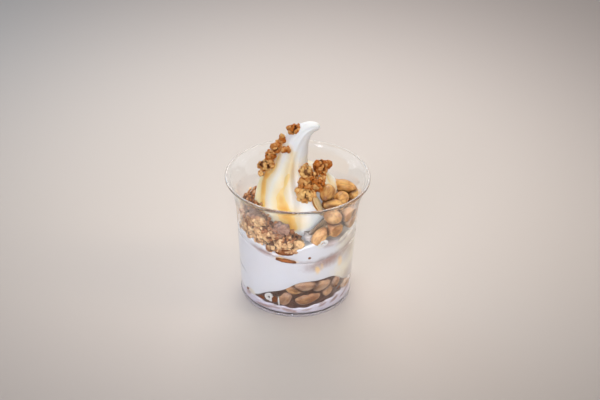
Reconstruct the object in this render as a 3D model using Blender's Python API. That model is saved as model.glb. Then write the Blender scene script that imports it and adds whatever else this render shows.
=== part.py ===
"""Soft serve sundae in a flared glass cup.

Metres, +Z up. The origin is the middle of the cup's foot, on the table, and the front faces -Y.
From the foot up the cup holds a bed of soft serve, a layer of peanuts, a thick band of soft serve,
and on that a piped swirl with granola heaped on its left and peanuts on its right. A few granola
clusters and whole peanuts lie singly on top. Azimuths are in degrees round the cup's axis, 0 at
the front and 90 at +X.
"""

import math

import bmesh
import bpy
from mathutils import Matrix, Vector, noise
from mathutils.bvhtree import BVHTree

MM = 0.001
GAP = 0.3 * MM  # clearance kept between neighbouring solids

# Cup
CUP_HEIGHT = 84 * MM
RIM_RADIUS = 45 * MM
FOOT_RADIUS = 34.0 * MM
LOW_RADIUS = 35.2 * MM  # outside of the wall just above the heel
SHOULDER_RADIUS = 38.1 * MM  # outside of the wall where the lip begins to flare
SHOULDER_HEIGHT = 60 * MM
FLARE_POWER = 1.9
WALL = 1.9 * MM
HEEL = 1.6 * MM
FLOOR = 2.4 * MM
FLOOR_FILLET = 2 * MM
FOOT_RING_INSIDE = 27 * MM
FOOT_DISH = 0.6 * MM
CUP_SEGMENTS = 56

# Layers
LAYER_SEGMENTS = 48
SEGMENT = 360 / LAYER_SEGMENTS  # degrees; the heaps use the same azimuths as the layers below them
BASE_CREAM_TOP = 6 * MM
PEANUT_LOW, PEANUT_HIGH, PEANUT_MIDDLE = 8.6 * MM, 26 * MM, 18 * MM
BAND_TOP = 52.4 * MM
BAND_FLAT_SHARE = 0.7  # the share of the radius under the swirl, where the band's top is level
BAND_SHARES = (0.4, 0.75, 0.87, 1)

# Heaps of granola and peanuts between the swirl and the wall
HEAP_LUMPS = 1.6 * MM  # height of the lumps on a heap's top
HEAP_GAP = 0.9 * MM  # between a heap's corners and the swirl, whose facets differ

# Swirl: each station of its spine is (x, z, radius)
SWIRL_SEGMENTS = 42
SWIRL_SPINE = [
    (-2.0, 52.8, 20.5),
    (-2.2, 54.6, 23.2),
    (-2.4, 60.0, 24.2),
    (-2.6, 66.0, 24.0),
    (-2.8, 72.0, 22.9),
    (-3.5, 78.0, 20.6),
    (-4.6, 84.0, 17.2),
    (-5.0, 90.0, 13.6),
    (-4.4, 96.0, 10.6),
    (-3.0, 102.0, 8.6),
    (-0.8, 107.5, 7.2),
    (2.4, 112.6, 5.4),
    (6.0, 116.5, 3.5),
    (9.2, 118.5, 2.0),
    (11.0, 118.9, 0.9),
]
SPINE_STEPS = 2  # rings from one station to the next
CREASE_AZIMUTH, CREASE_WIDTH, CREASE_DEPTH = 11, 9, 1.8 * MM
COIL_BULGE = 6.6 * MM  # how far the lower coil stands out from the upper cone on the right
COIL_FOOT, COIL_FULL, COIL_SHOULDER, COIL_TOP = 54 * MM, 80 * MM, 83 * MM, 90 * MM
BACK_CREASE_AZIMUTH, BACK_CREASE_WIDTH = 172, 14
FOLD_WAVES = 0.35 * MM
FOLD_FULL_RADIUS = 15 * MM  # the folds fade where the swirl is thinner than this
LEAN_START, LEAN_END = 96 * MM, 110 * MM  # where the rings begin to lean with the spine, and do
TIP_LENGTH = 0.7 * MM  # beyond the last ring

# Single toppings
SETTLE_GAP = 0.65 * MM  # between a single topping's corners and what it lies on
SETTLE_STEP = 0.02  # how finely a corner is drawn in to keep that gap
CLUSTER_SIZE, CLUSTER_KNOBS, KNOB_SPACING = 0.92, 0.3, 0.53  # in shares of a cluster's half size
KERNEL_NARROWING = 0.16  # how much narrower a peanut's germ end is

# Granola clusters are (x, y, z, length, width, height, turn) in mm and degrees
CLUSTERS = [
    (-3.7, -1.2, 117.4, 8.6, 6.6, 6.2, 20),
    (-10.6, -2.0, 110.2, 5.4, 4.6, 7.4, 10),
    (-14.4, -3.2, 103.8, 6.8, 6.2, 7.0, 40),
    (-17.2, -3.6, 98.6, 7.4, 6.4, 6.6, 75),
    (-19.6, -5.2, 91.6, 11.2, 8.4, 9.2, 15),
    (-9.8, -8.0, 105.2, 6.0, 4.2, 3.8, 30),
    (4.8, -12.6, 93.8, 7.4, 7.2, 9.6, 0),
    (13.2, -2.6, 91.6, 8.8, 8.4, 9.6, 25),
    (19.2, 2.2, 89.4, 6.2, 5.2, 5.2, 60),
    (2.6, -16.0, 87.2, 7.0, 6.4, 6.6, 70),
    (3.2, -20.8, 80.6, 9.4, 7.6, 10.0, 5),
    (11.2, -15.8, 85.6, 8.4, 7.2, 7.8, 50),
]
# Single peanuts: (x, y, z, length, width, thickness, turn about +Z, tilt)
PEANUTS = [
    (18.4, -17.0, 82.4, 13.6, 9.4, 9.0, -100, 24),
    (29.4, 2.2, 76.6, 15.0, 7.8, 7.4, -12, -6),
    (27.4, -9.8, 73.6, 12.6, 8.6, 8.2, 62, 12),
    (34.6, 1.2, 70.8, 12.0, 7.2, 6.8, 84, 6),
    (21.4, -21.8, 75.8, 13.2, 7.6, 7.2, 12, 8),
    (12.6, -23.4, 76.6, 10.6, 5.6, 3.4, -50, 30),
    (24.6, 14.0, 68.4, 13.4, 7.8, 7.4, 130, 6),
    (13.6, 27.2, 64.8, 13.0, 7.6, 7.2, 20, -8),
]


def smooth_step(value, start, end):
    """Rises smoothly from 0 at start to 1 at end."""
    share = min(1.0, max(0.0, (value - start) / (end - start)))
    return share * share * (3 - 2 * share)


def bell(value, centre, width):
    """A bump of height 1 at centre that fades over width."""
    return math.exp(-(((value - centre) / width) ** 2))


def turn_between(azimuth, centre):
    """The azimuth measured from centre, from -180 to 180 degrees."""
    return (azimuth - centre + 180) % 360 - 180


def around(radius, azimuth, z):
    """The point at that radius and azimuth round the cup's axis."""
    angle = math.radians(azimuth)
    return Vector((radius * math.sin(angle), -radius * math.cos(angle), z))


def azimuths(count, start=-180, end=180):
    """That many even azimuths from start up to, but not including, end."""
    return [start + (end - start) * i / count for i in range(count)]


# Materials and meshes


def material(name, colour, roughness, metallic=0.0, transmission=0.0):
    """A plain finish for one sub-part."""
    made = bpy.data.materials.new(name)
    made.use_nodes = True
    shader = made.node_tree.nodes["Principled BSDF"]
    shader.inputs["Base Color"].default_value = (*colour, 1)
    shader.inputs["Roughness"].default_value = roughness
    shader.inputs["Metallic"].default_value = metallic
    shader.inputs["Transmission Weight"].default_value = transmission
    made.diffuse_color = (*colour, 1)
    return made


def add_object(name, mesh_data, finish):
    """Makes one named object of a bmesh, smooth shaded, and returns it."""
    bmesh.ops.recalc_face_normals(mesh_data, faces=mesh_data.faces)
    mesh = bpy.data.meshes.new(name)
    mesh_data.to_mesh(mesh)
    mesh_data.free()
    mesh.shade_smooth()
    mesh.set_sharp_from_angle(angle=math.radians(45))
    mesh.materials.append(finish)
    made = bpy.data.objects.new(name, mesh)
    bpy.context.scene.collection.objects.link(made)
    return made


def bridge(mesh_data, lower, upper, swap=False):
    """Joins two rings of as many vertices with triangles, along one diagonal or the other."""
    for i, (low, high) in enumerate(zip(lower, upper)):
        next_low, next_high = lower[i - len(lower) + 1], upper[i - len(upper) + 1]
        if swap:
            mesh_data.faces.new((low, next_low, high))
            mesh_data.faces.new((next_low, next_high, high))
        else:
            mesh_data.faces.new((low, next_low, next_high))
            mesh_data.faces.new((low, next_high, high))


def fan(mesh_data, ring, middle):
    """Closes a ring of vertices with triangles to a point in its middle."""
    hub = mesh_data.verts.new(middle)
    for i, vertex in enumerate(ring):
        mesh_data.faces.new((vertex, ring[(i + 1) % len(ring)], hub))


def ring_solid(rings, first_pole, last_pole, swapped=0):
    """A closed body through rings of points, shut with a fan at each end.

    The first bands, as many as swapped says, take the other diagonal: an underside made like that
    has the same facets as the top that it lies on.
    """
    body = bmesh.new()
    rows = [[body.verts.new(point) for point in ring] for ring in rings]
    for number, (lower, upper) in enumerate(zip(rows, rows[1:])):
        bridge(body, lower, upper, swap=number < swapped)
    fan(body, rows[0], first_pole)
    fan(body, rows[-1], last_pole)
    return body


# Cup


def outer_radius(z):
    """Outside of the cup's wall at a height: a slight taper, then the flared lip."""
    slope = (SHOULDER_RADIUS - LOW_RADIUS) / (SHOULDER_HEIGHT - HEEL)
    straight = LOW_RADIUS + slope * (z - HEEL)
    if z <= SHOULDER_HEIGHT:
        return straight
    top = LOW_RADIUS + slope * (CUP_HEIGHT - HEEL)
    share = (z - SHOULDER_HEIGHT) / (CUP_HEIGHT - SHOULDER_HEIGHT)
    return straight + (RIM_RADIUS - top) * share**FLARE_POWER


def inner_radius(z):
    """Inside of the cup's wall at a height, with the fillet above the floor."""
    radius = outer_radius(z) - WALL
    below = FLOOR + FLOOR_FILLET - z
    if below > 0:
        radius -= FLOOR_FILLET - math.sqrt(max(0.0, FLOOR_FILLET**2 - below**2))
    return radius


def arc(centre_r, centre_z, radius, start, end, steps):
    """Points of a profile's arc, as (r, z), with angles in degrees."""
    turns = [math.radians(start + (end - start) * i / steps) for i in range(steps + 1)]
    return [(centre_r + radius * math.cos(t), centre_z + radius * math.sin(t)) for t in turns]


def cup_profile():
    """The half section of the cup, from the foot's middle outwards, over the lip and down to the floor."""
    dish = [(FOOT_RING_INSIDE * 0.55, FOOT_DISH), (FOOT_RING_INSIDE * 0.93, FOOT_DISH)]
    foot = [(FOOT_RING_INSIDE, 0.0), (FOOT_RADIUS, 0.0)]
    heel = [(FOOT_RADIUS + (LOW_RADIUS - FOOT_RADIUS) * 0.7, HEEL * 0.3), (LOW_RADIUS, HEEL)]
    straight = [(outer_radius(z * MM), z * MM) for z in (30, 60)]
    flare = [(outer_radius(z * MM), z * MM) for z in (66, 72, 77, 80.5)]
    lip_radius = WALL / 2
    lip_z = CUP_HEIGHT - lip_radius
    lip = arc(RIM_RADIUS - lip_radius, lip_z, lip_radius, 0, 180, 5)
    inside = [(inner_radius(z * MM), z * MM) for z in (80, 76, 71, 66, 60, 30)]
    inside.append((inner_radius(FLOOR + FLOOR_FILLET), FLOOR + FLOOR_FILLET))
    fillet_r = inner_radius(FLOOR + FLOOR_FILLET) - FLOOR_FILLET
    fillet = arc(fillet_r, FLOOR + FLOOR_FILLET, FLOOR_FILLET, -30, -90, 2)
    return dish + foot + heel + straight + flare + lip + inside + fillet


def make_cup(finish):
    """The glass, turned from its profile."""
    rings = [
        [around(radius, azimuth, z) for azimuth in azimuths(CUP_SEGMENTS)]
        for radius, z in cup_profile()
    ]
    body = ring_solid(rings, (0, 0, FOOT_DISH), (0, 0, FLOOR))
    return add_object("glass_cup", body, finish)


# Layers that fill the cup from wall to wall. A surface gives the height at an azimuth and a share
# of the wall's radius.


def base_cream_top(azimuth, share):
    """Top of the bed of soft serve, a little higher at the front and in the middle."""
    wave = 0.6 * math.cos(math.radians(azimuth)) + 0.4 * math.cos(math.radians(3 * azimuth + 40))
    return BASE_CREAM_TOP + (wave * share + 1.2 * (1 - share**2)) * MM


def lower_peanuts_top(azimuth, share):
    """Top of the lower peanuts: deep at the front right, thin on the left and at the back."""
    rise = smooth_step(azimuth, -52, 8) * (1 - smooth_step(azimuth, 70, 150))
    uneven = 0.7 * math.sin(math.radians(5 * azimuth)) * rise
    edge = PEANUT_LOW + (PEANUT_HIGH - PEANUT_LOW) * rise + uneven * MM
    return PEANUT_MIDDLE + (edge - PEANUT_MIDDLE) * share**2


def band_top(azimuth, share):
    """Top of the band of soft serve: level under the swirl, with a dip and a crest at the front."""
    dip = -4.6 * bell(azimuth, -20, 13)
    crest = 2.8 * bell(azimuth, 19, 14)
    uneven = 0.9 * math.sin(math.radians(2 * azimuth - 35))
    at_wall = smooth_step(share, BAND_FLAT_SHARE, 1)
    return BAND_TOP + (dip + crest + uneven) * at_wall * MM


def cup_floor(azimuth, share):
    """The floor that the lowest layer rests on, which rises with the fillet at the wall."""
    return FLOOR + 0.35 * FLOOR_FILLET * smooth_step(share, 0.9, 1)


def surface_ring(surface, share, lift):
    """One ring of points on a layer's surface, at that share of the wall's radius."""
    ring = []
    for azimuth in azimuths(LAYER_SEGMENTS):
        z = surface(azimuth, share) + lift
        ring.append(around(share * (inner_radius(z) - GAP), azimuth, z))
    return ring


def make_layer(name, finish, lower, upper, shares):
    """A solid that fills the cup between two surfaces."""
    rings = [surface_ring(lower, share, GAP) for share in shares]
    rings += [surface_ring(upper, share, 0.0) for share in reversed(shares)]
    poles = [(0, 0, lower(0, 0) + GAP), (0, 0, upper(0, 0))]
    return add_object(name, ring_solid(rings, *poles, swapped=len(shares) - 1), finish)


# Swirl


def catmull_rom(a, b, c, d, share):
    """A point on the smooth curve from b to c, where a and d are its neighbours."""
    return 0.5 * (
        2 * b
        + (c - a) * share
        + (2 * a - 5 * b + 4 * c - d) * share**2
        + (3 * b - a - 3 * c + d) * share**3
    )


def spine_points():
    """Stations along the spine, closer together than the driving ones, as (x, z, radius)."""
    points = [Vector(station) * MM for station in SWIRL_SPINE]
    points = [2 * points[0] - points[1]] + points + [2 * points[-1] - points[-2]]
    fine = []
    for i in range(1, len(points) - 2):
        for step in range(SPINE_STEPS):
            fine.append(catmull_rom(*points[i - 1 : i + 3], step / SPINE_STEPS))
    return fine + [points[-2]]


def coil_bulge(azimuth, z):
    """How far the lower coil stands out: on the right and at the back, up to its shoulder."""
    side = smooth_step(azimuth, 14, 70) if azimuth > 0 else 1 - smooth_step(azimuth, -175, -125)
    height = smooth_step(z, COIL_FOOT, COIL_FULL) * (1 - smooth_step(z, COIL_SHOULDER, COIL_TOP))
    return COIL_BULGE * side * height


def fold_depth(azimuth, radius):
    """The crease between the two folds at the front, and the soft waves of the others."""
    crease = -CREASE_DEPTH * bell(turn_between(azimuth, CREASE_AZIMUTH), 0, CREASE_WIDTH)
    back_crease = -CREASE_DEPTH * bell(turn_between(azimuth, BACK_CREASE_AZIMUTH), 0, BACK_CREASE_WIDTH)
    waves = FOLD_WAVES * math.cos(math.radians(5 * azimuth + 60))
    return (crease + back_crease + waves) * min(1.0, radius / FOLD_FULL_RADIUS)


def swirl_ring(station, ahead):
    """One ring round the spine, tilted with it near the tip."""
    x, z, radius = station
    lean = math.atan2(ahead[0] - x, ahead[1] - z) * smooth_step(z, LEAN_START, LEAN_END)
    turn = Matrix.Rotation(lean, 3, "Y")
    ring = []
    for azimuth in azimuths(SWIRL_SEGMENTS):
        reach = radius + coil_bulge(azimuth, z) + fold_depth(azimuth, radius)
        ring.append(Vector((x, 0, z)) + turn @ around(reach, azimuth, 0))
    return ring


def make_swirl(finish):
    """The piped soft serve that stands on the band, its tip drawn out to the right."""
    stations = spine_points()
    pairs = zip(stations, stations[1:] + [2 * stations[-1] - stations[-2]])
    rings = [swirl_ring(station, ahead) for station, ahead in pairs]
    first, last = stations[0], stations[-1]
    poles = [(first[0], 0, first[1]), (last[0] + TIP_LENGTH, 0, last[1])]
    return add_object("soft_serve_swirl", ring_solid(rings, *poles), finish)


# Heaps between the swirl and the wall


def tree_of(made):
    """A search tree of an object's faces, in world space."""
    mesh = made.data
    return BVHTree.FromPolygons([v.co for v in mesh.vertices], [p.vertices for p in mesh.polygons])


def beside_swirl(swirl_tree, azimuth, z):
    """The point of a heap's section that lies against the swirl at that height, as (radius, z)."""
    height = max(z, SWIRL_SPINE[0][1] * MM + GAP)
    hit = swirl_tree.ray_cast(around(RIM_RADIUS, azimuth, height), around(-1, azimuth, 0))[0]
    return math.hypot(hit.x, hit.y) + HEAP_GAP, z


def heap_section(swirl_tree, azimuth, inner_top, outer_top):
    """The outline of a heap at one azimuth: along the band, up the wall, over and down the swirl."""
    foot = BAND_TOP + GAP
    points = [beside_swirl(swirl_tree, azimuth, foot)]
    for share in BAND_SHARES[1:]:
        z = band_top(azimuth, share) + GAP
        points.append((share * (inner_radius(z) - GAP), z))
    wall_foot = points[-1][1]
    for share in (0.3, 0.65, 1):
        z = wall_foot + (outer_top - wall_foot) * share
        points.append((inner_radius(z) - GAP, z))
    inner, outer = beside_swirl(swirl_tree, azimuth, inner_top)[0], points[-1][0]
    for share in (0.7, 0.35):
        z = inner_top + (outer_top - inner_top) * share
        lump = noise.noise(Vector((azimuth / 14, share * 3, 2))) * HEAP_LUMPS
        points.append((inner + (outer - inner) * share, z + lump))
    for share in (1, 0.6, 0.25, 0.08):
        points.append(beside_swirl(swirl_tree, azimuth, foot + (inner_top - foot) * share))
    return [around(radius, azimuth, z) for radius, z in points]


def make_heap(name, finish, swirl_tree, first, last, tops):
    """A heap that follows the swirl and the wall from one segment of the layers to another."""
    body = bmesh.new()
    rows = []
    for azimuth in (SEGMENT * i for i in range(first, last + 1)):
        section = heap_section(swirl_tree, azimuth, *tops(azimuth))
        rows.append([body.verts.new(point) for point in section])
    for before, after in zip(rows, rows[1:]):
        bridge(body, before, after, swap=True)
    for row in (rows[0], rows[-1]):
        fan(body, row, sum((vertex.co for vertex in row), Vector()) / len(row))
    return add_object(name, body, finish)


def granola_tops(azimuth):
    """Heights of the granola at the swirl and at the wall: highest on the left, low at the front."""
    ends = smooth_step(azimuth, -196, -176) * (1 - 0.5 * smooth_step(azimuth, -8, 6))
    inner = 65 + 6 * bell(azimuth, -65, 32) - 7 * smooth_step(azimuth, -32, -2)
    outer = 61 + 9 * bell(azimuth, -48, 27) - 4 * smooth_step(azimuth, -25, 0)
    return [(55 + (top - 55) * (0.25 + 0.75 * ends)) * MM for top in (inner, outer)]


def peanut_tops(azimuth):
    """Heights of the upper peanuts at the swirl and at the wall."""
    full = smooth_step(azimuth, 10, 36) * (1 - 0.9 * smooth_step(azimuth, 82, 128))
    return [(60 + 11 * full) * MM, (59 + 9 * full) * MM]


# Single toppings


def is_clear(point, middle, trees):
    """Whether a point of a topping is inside the cup and clears every neighbour."""
    free = inner_radius(min(point.z, CUP_HEIGHT)) - SETTLE_GAP
    if point.z < CUP_HEIGHT + SETTLE_GAP and math.hypot(point.x, point.y) > free:
        return False
    reach = point - middle
    for tree in trees:
        if tree.ray_cast(middle, reach, reach.length)[0] or tree.find_nearest(point)[3] < SETTLE_GAP:
            return False
    return True


def rest(mesh_data, middle, trees):
    """Flattens a topping where it lies on its neighbours, by drawing its points in to its middle."""
    for vertex in mesh_data.verts:
        reach = vertex.co - middle
        share = 1.0
        while share > SETTLE_STEP and not is_clear(middle + reach * share, middle, trees):
            share -= SETTLE_STEP
        vertex.co = middle + reach * share


def place(mesh_data, half_sizes, turn, tilt, middle, trees):
    """Scales a unit ball, tilts and turns it, moves it to its place and rests it there."""
    turned = Matrix.Rotation(math.radians(turn), 4, "Z") @ Matrix.Rotation(math.radians(tilt), 4, "Y")
    scaled = Matrix.Diagonal((*half_sizes, 1))
    mesh_data.transform(Matrix.Translation(middle) @ turned @ scaled)
    rest(mesh_data, middle, trees)


def cluster_points(mesh_data, seed):
    """Makes a ball of vertices as knobbly as baked oats."""
    for vertex in mesh_data.verts:
        knob = noise.noise(vertex.co / KNOB_SPACING + Vector((seed * 3.7, 0, 0)))
        vertex.co *= CLUSTER_SIZE + CLUSTER_KNOBS * knob


def make_cluster(number, spec, finish, trees):
    """One granola cluster that lies on the swirl."""
    x, y, z, length, width, height, turn = spec
    body = bmesh.new()
    bmesh.ops.create_icosphere(body, subdivisions=2, radius=1)
    cluster_points(body, number)
    half_sizes = [size / 2 * MM for size in (length, width, height)]
    place(body, half_sizes, turn, 0, Vector((x, y, z)) * MM, trees)
    return add_object(f"granola_cluster_{number:02d}", body, finish)


def make_peanut(number, spec, finish, trees):
    """One whole kernel, with its germ end a little narrower."""
    x, y, z, length, width, thickness, turn, tilt = spec
    body = bmesh.new()
    bmesh.ops.create_icosphere(body, subdivisions=2, radius=1)
    for vertex in body.verts:
        narrow = 1 - KERNEL_NARROWING * vertex.co.x
        vertex.co.y *= narrow
        vertex.co.z *= narrow
    half_sizes = [size / 2 * MM for size in (length, width, thickness)]
    place(body, half_sizes, turn, tilt, Vector((x, y, z)) * MM, trees)
    return add_object(f"peanut_{number:02d}", body, finish)


def main():
    """Builds the sundae, from the cup inwards and upwards."""
    for old in list(bpy.data.objects):
        bpy.data.objects.remove(old)
    glass = material("clear_glass", (0.9, 0.93, 0.93), 0.03, transmission=1.0)
    cream = material("soft_serve", (0.86, 0.84, 0.8), 0.4)
    peanut = material("roasted_peanut", (0.62, 0.33, 0.13), 0.45)
    granola = material("granola", (0.45, 0.2, 0.07), 0.6)

    make_cup(glass)
    make_layer("base_cream", cream, cup_floor, base_cream_top, (0.5, 0.93, 1))
    make_layer("lower_peanut_layer", peanut, base_cream_top, lower_peanuts_top, (0.4, 0.75, 1))
    make_layer("lower_soft_serve", cream, lower_peanuts_top, band_top, BAND_SHARES)
    swirl = make_swirl(cream)
    swirl_tree = tree_of(swirl)
    granola_heap = make_heap("upper_granola_heap", granola, swirl_tree, -26, 0, granola_tops)
    peanut_heap = make_heap("upper_peanut_heap", peanut, swirl_tree, 1, 20, peanut_tops)

    trees = [tree_of(granola_heap), tree_of(peanut_heap), swirl_tree]
    for number, spec in enumerate(CLUSTERS, start=1):
        trees.insert(0, tree_of(make_cluster(number, spec, granola, trees)))
    for number, spec in enumerate(PEANUTS, start=1):
        trees.insert(0, tree_of(make_peanut(number, spec, peanut, trees)))


main()
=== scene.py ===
"""The looks of a soft serve sundae in a flared glass cup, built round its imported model.

Lengths are metres, with +Z up and the cup's axis on Z. Azimuths are degrees round that axis: 0 is
the front, where Y is negative, and 90 is +X. Every piece rides on the one body, "root".
"""

import enum
import itertools
import logging
import math
from collections.abc import Callable, Iterable, Sequence
from dataclasses import dataclass, field
from functools import lru_cache

import bmesh
import bpy
import numpy as np
from mathutils import Matrix, Vector


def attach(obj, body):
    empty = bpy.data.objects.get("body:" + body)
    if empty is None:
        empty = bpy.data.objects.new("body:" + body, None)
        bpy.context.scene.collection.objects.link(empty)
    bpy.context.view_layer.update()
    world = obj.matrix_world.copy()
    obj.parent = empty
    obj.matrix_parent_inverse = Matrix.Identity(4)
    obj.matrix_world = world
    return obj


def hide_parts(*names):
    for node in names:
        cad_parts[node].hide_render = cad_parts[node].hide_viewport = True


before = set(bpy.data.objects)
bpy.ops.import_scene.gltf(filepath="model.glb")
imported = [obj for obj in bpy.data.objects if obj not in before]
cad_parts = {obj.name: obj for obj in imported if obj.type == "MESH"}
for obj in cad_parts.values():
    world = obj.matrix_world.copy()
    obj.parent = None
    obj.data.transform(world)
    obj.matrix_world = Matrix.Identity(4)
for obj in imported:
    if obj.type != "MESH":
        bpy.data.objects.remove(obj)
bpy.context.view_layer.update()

LOG = logging.getLogger("sundae")
MM = 0.001
INTO_GLASS = 0.2 * MM  # how far the food reaches into the wall, so that no air shows between them
Stations = tuple[tuple[float, float], ...]


# Numbers


def smooth_step(value: np.ndarray, start: float, end: float) -> np.ndarray:
    """Rises smoothly from 0 to 1.

    Args:
        value: Where it is read.
        start: Where it leaves 0.
        end: Where it reaches 1.

    Returns:
        The step at each value.
    """
    share = np.clip((np.asarray(value, float) - start) / (end - start), 0, 1)
    return share * share * (3 - 2 * share)


def bell(value: np.ndarray, centre: float, width: float) -> np.ndarray:
    """A smooth bump of height 1.

    Args:
        value: Where it is read.
        centre: Where it is highest.
        width: How far out it has fallen to about a third.

    Returns:
        The bump at each value.
    """
    return np.exp(-(((np.asarray(value, float) - centre) / width) ** 2))


def turn_between(azimuth: np.ndarray, centre: np.ndarray) -> np.ndarray:
    """Measures azimuths from another one.

    Args:
        azimuth: The azimuths.
        centre: What they are measured from.

    Returns:
        The turns, from -180 to 180 degrees.
    """
    return (azimuth - centre + 180) % 360 - 180


def round_the_cup(azimuth: np.ndarray, stations: Stations, soften: float = 5.0) -> np.ndarray:
    """Reads a value that is given at some azimuths, without corners between them.

    Args:
        azimuth: Where it is read.
        stations: Pairs of an azimuth and the value there.
        soften: How far to each side the corners are rounded, in degrees.

    Returns:
        The value at each azimuth.
    """
    places, values = zip(*stations)
    shifts = np.linspace(-soften, soften, 5)
    return sum(np.interp(azimuth + s, places, values, period=360) for s in shifts) / len(shifts)


@lru_cache
def lattice(seed: int) -> np.ndarray:
    """Random values from -1 to 1 for the corners of the noise's cells."""
    return np.random.default_rng(seed).uniform(-1, 1, 4096)


def noise(points: np.ndarray, scale: float, seed: int = 0) -> np.ndarray:
    """Smooth random values in space.

    Args:
        points: Where they are read, one row each.
        scale: The distance over which they change.
        seed: Which of the random fields is read.

    Returns:
        A value from -1 to 1 for each point.
    """
    grid = points / scale
    cell = np.floor(grid).astype(np.int64)
    share = grid - cell
    share = share * share * (3 - 2 * share)
    total = np.zeros(len(points))
    for corner in itertools.product((0, 1), repeat=3):
        key = (cell + corner) @ np.array((73856093, 19349663, 83492791))
        weight = np.prod(np.where(corner, share, 1 - share), axis=1)
        total += lattice(seed)[(key ^ (key >> 13)) % 4096] * weight
    return total


def at(radius: np.ndarray, azimuth: np.ndarray, z: np.ndarray) -> np.ndarray:
    """Places points round the cup's axis.

    Args:
        radius: Their distances from the axis.
        azimuth: Their azimuths.
        z: Their heights.

    Returns:
        The points, in a last axis of three.
    """
    angle = np.radians(azimuth)
    return np.stack(np.broadcast_arrays(radius * np.sin(angle), -radius * np.cos(angle), z), -1)


def whole_turn(count: int) -> np.ndarray:
    """One row of even azimuths, right round the cup."""
    return np.linspace(-180, 180, count, endpoint=False)[None, :]


def azimuth_of(points: np.ndarray) -> np.ndarray:
    """The azimuth of each point."""
    return np.degrees(np.arctan2(points[..., 0], -points[..., 1]))


def radius_of(points: np.ndarray) -> np.ndarray:
    """The distance of each point from the cup's axis."""
    return np.hypot(points[..., 0], points[..., 1])


# Shapes


@dataclass
class Shape:
    """Points and triangles that will be part of a mesh.

    A mark is a number from 0 to 1 at each point, which a finish reads by its name.
    """

    points: np.ndarray
    faces: np.ndarray
    marks: dict[str, np.ndarray] = field(default_factory=dict)

    def marked(self, **marks: float | np.ndarray) -> "Shape":
        """Gives the shape marks.

        Args:
            **marks: A number for the whole shape, or one for each point.

        Returns:
            The same shape.
        """
        for name, value in marks.items():
            self.marks[name] = np.broadcast_to(np.clip(value, 0, 1), len(self.points))
        return self

    def moved(self, matrix: Matrix) -> "Shape":
        """Copies the shape to another place.

        Args:
            matrix: The move, which may also turn and scale it.

        Returns:
            The copy.
        """
        turn = np.array(matrix.to_3x3())
        return Shape(self.points @ turn.T + np.array(matrix.translation), self.faces, dict(self.marks))


def joined(shapes: Iterable[Shape]) -> Shape:
    """Joins shapes that have the same marks.

    Args:
        shapes: The shapes.

    Returns:
        One shape of them all.
    """
    shapes = list(shapes)
    starts = np.cumsum([0] + [len(shape.points) for shape in shapes])
    faces = [shape.faces + start for shape, start in zip(shapes, starts)]
    names = shapes[0].marks
    marks = {name: np.concatenate([shape.marks[name] for shape in shapes]) for name in names}
    return Shape(np.concatenate([shape.points for shape in shapes]), np.concatenate(faces), marks)


def sheet_of(points: np.ndarray) -> Shape:
    """Makes a sheet of triangles through rings of points.

    Args:
        points: The points, by ring and by place in the ring.

    Returns:
        The sheet, which faces outwards where rising rings run counterclockwise.
    """
    rows, columns = points.shape[:2]
    i, j = np.meshgrid(np.arange(rows - 1), np.arange(columns), indexing="ij")
    a, b = i * columns + j, i * columns + (j + 1) % columns
    faces = [np.stack(corners, -1).reshape(-1, 3) for corners in ((a, b, b + columns), (a, b + columns, a + columns))]
    return Shape(points.reshape(-1, 3), np.concatenate(faces))


@lru_cache
def unit_ball(level: int) -> tuple[np.ndarray, np.ndarray]:
    """Makes a ball of even triangles.

    Args:
        level: How fine it is: 80 triangles at 2, and four times as many for each one more.

    Returns:
        Its points and its triangles.
    """
    body = bmesh.new()
    bmesh.ops.create_icosphere(body, subdivisions=level, radius=1)
    points = np.array([vertex.co for vertex in body.verts])
    faces = np.array([[vertex.index for vertex in face.verts] for face in body.faces])
    body.free()
    return points, faces


def lump(half_sizes: Sequence[float], level: int, seed: int, roughness: float, scale: float = 0.8) -> Shape:
    """Makes a ball with an uneven surface.

    Args:
        half_sizes: Half its length, width and height.
        level: How fine it is.
        seed: Which of the random forms it takes.
        roughness: How far the surface strays, in shares of its half sizes.
        scale: How wide the unevenness is, in the same shares.

    Returns:
        The lump, round the origin.
    """
    ball, faces = unit_ball(level)
    reach = 1 + roughness * noise(ball + seed * 7.3, scale, seed % 5)
    return Shape(ball * reach[:, None] * np.array(half_sizes), faces)


def spot(place: Sequence[float], turn: float = 0, tilt: float = 0, roll: float = 0) -> Matrix:
    """A move to a place.

    Args:
        place: Where the middle goes.
        turn: Degrees about +Z, which come last.
        tilt: Degrees about the Y axis.
        roll: Degrees about the shape's own length, which come first.

    Returns:
        The move.
    """
    made = Matrix.Translation(Vector(place))
    for angle, axis in ((turn, "Z"), (tilt, "Y"), (roll, "X")):
        made = made @ Matrix.Rotation(math.radians(angle), 4, axis)
    return made


def pointing(way: Sequence[float]) -> Matrix:
    """The turn that points a shape's own Z axis along a direction."""
    return Vector(way).normalized().to_track_quat("Z", "Y").to_matrix().to_4x4()


def node_surface(name: str) -> tuple[np.ndarray, np.ndarray]:
    """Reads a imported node's surface.

    Args:
        name: The node.

    Returns:
        The corners of each triangle, and each triangle's outward normal.
    """
    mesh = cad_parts[name].data
    mesh.calc_loop_triangles()
    points = np.array([vertex.co for vertex in mesh.vertices])
    corners = points[np.array([triangle.vertices for triangle in mesh.loop_triangles])]
    return corners, np.array([triangle.normal for triangle in mesh.loop_triangles])


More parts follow.
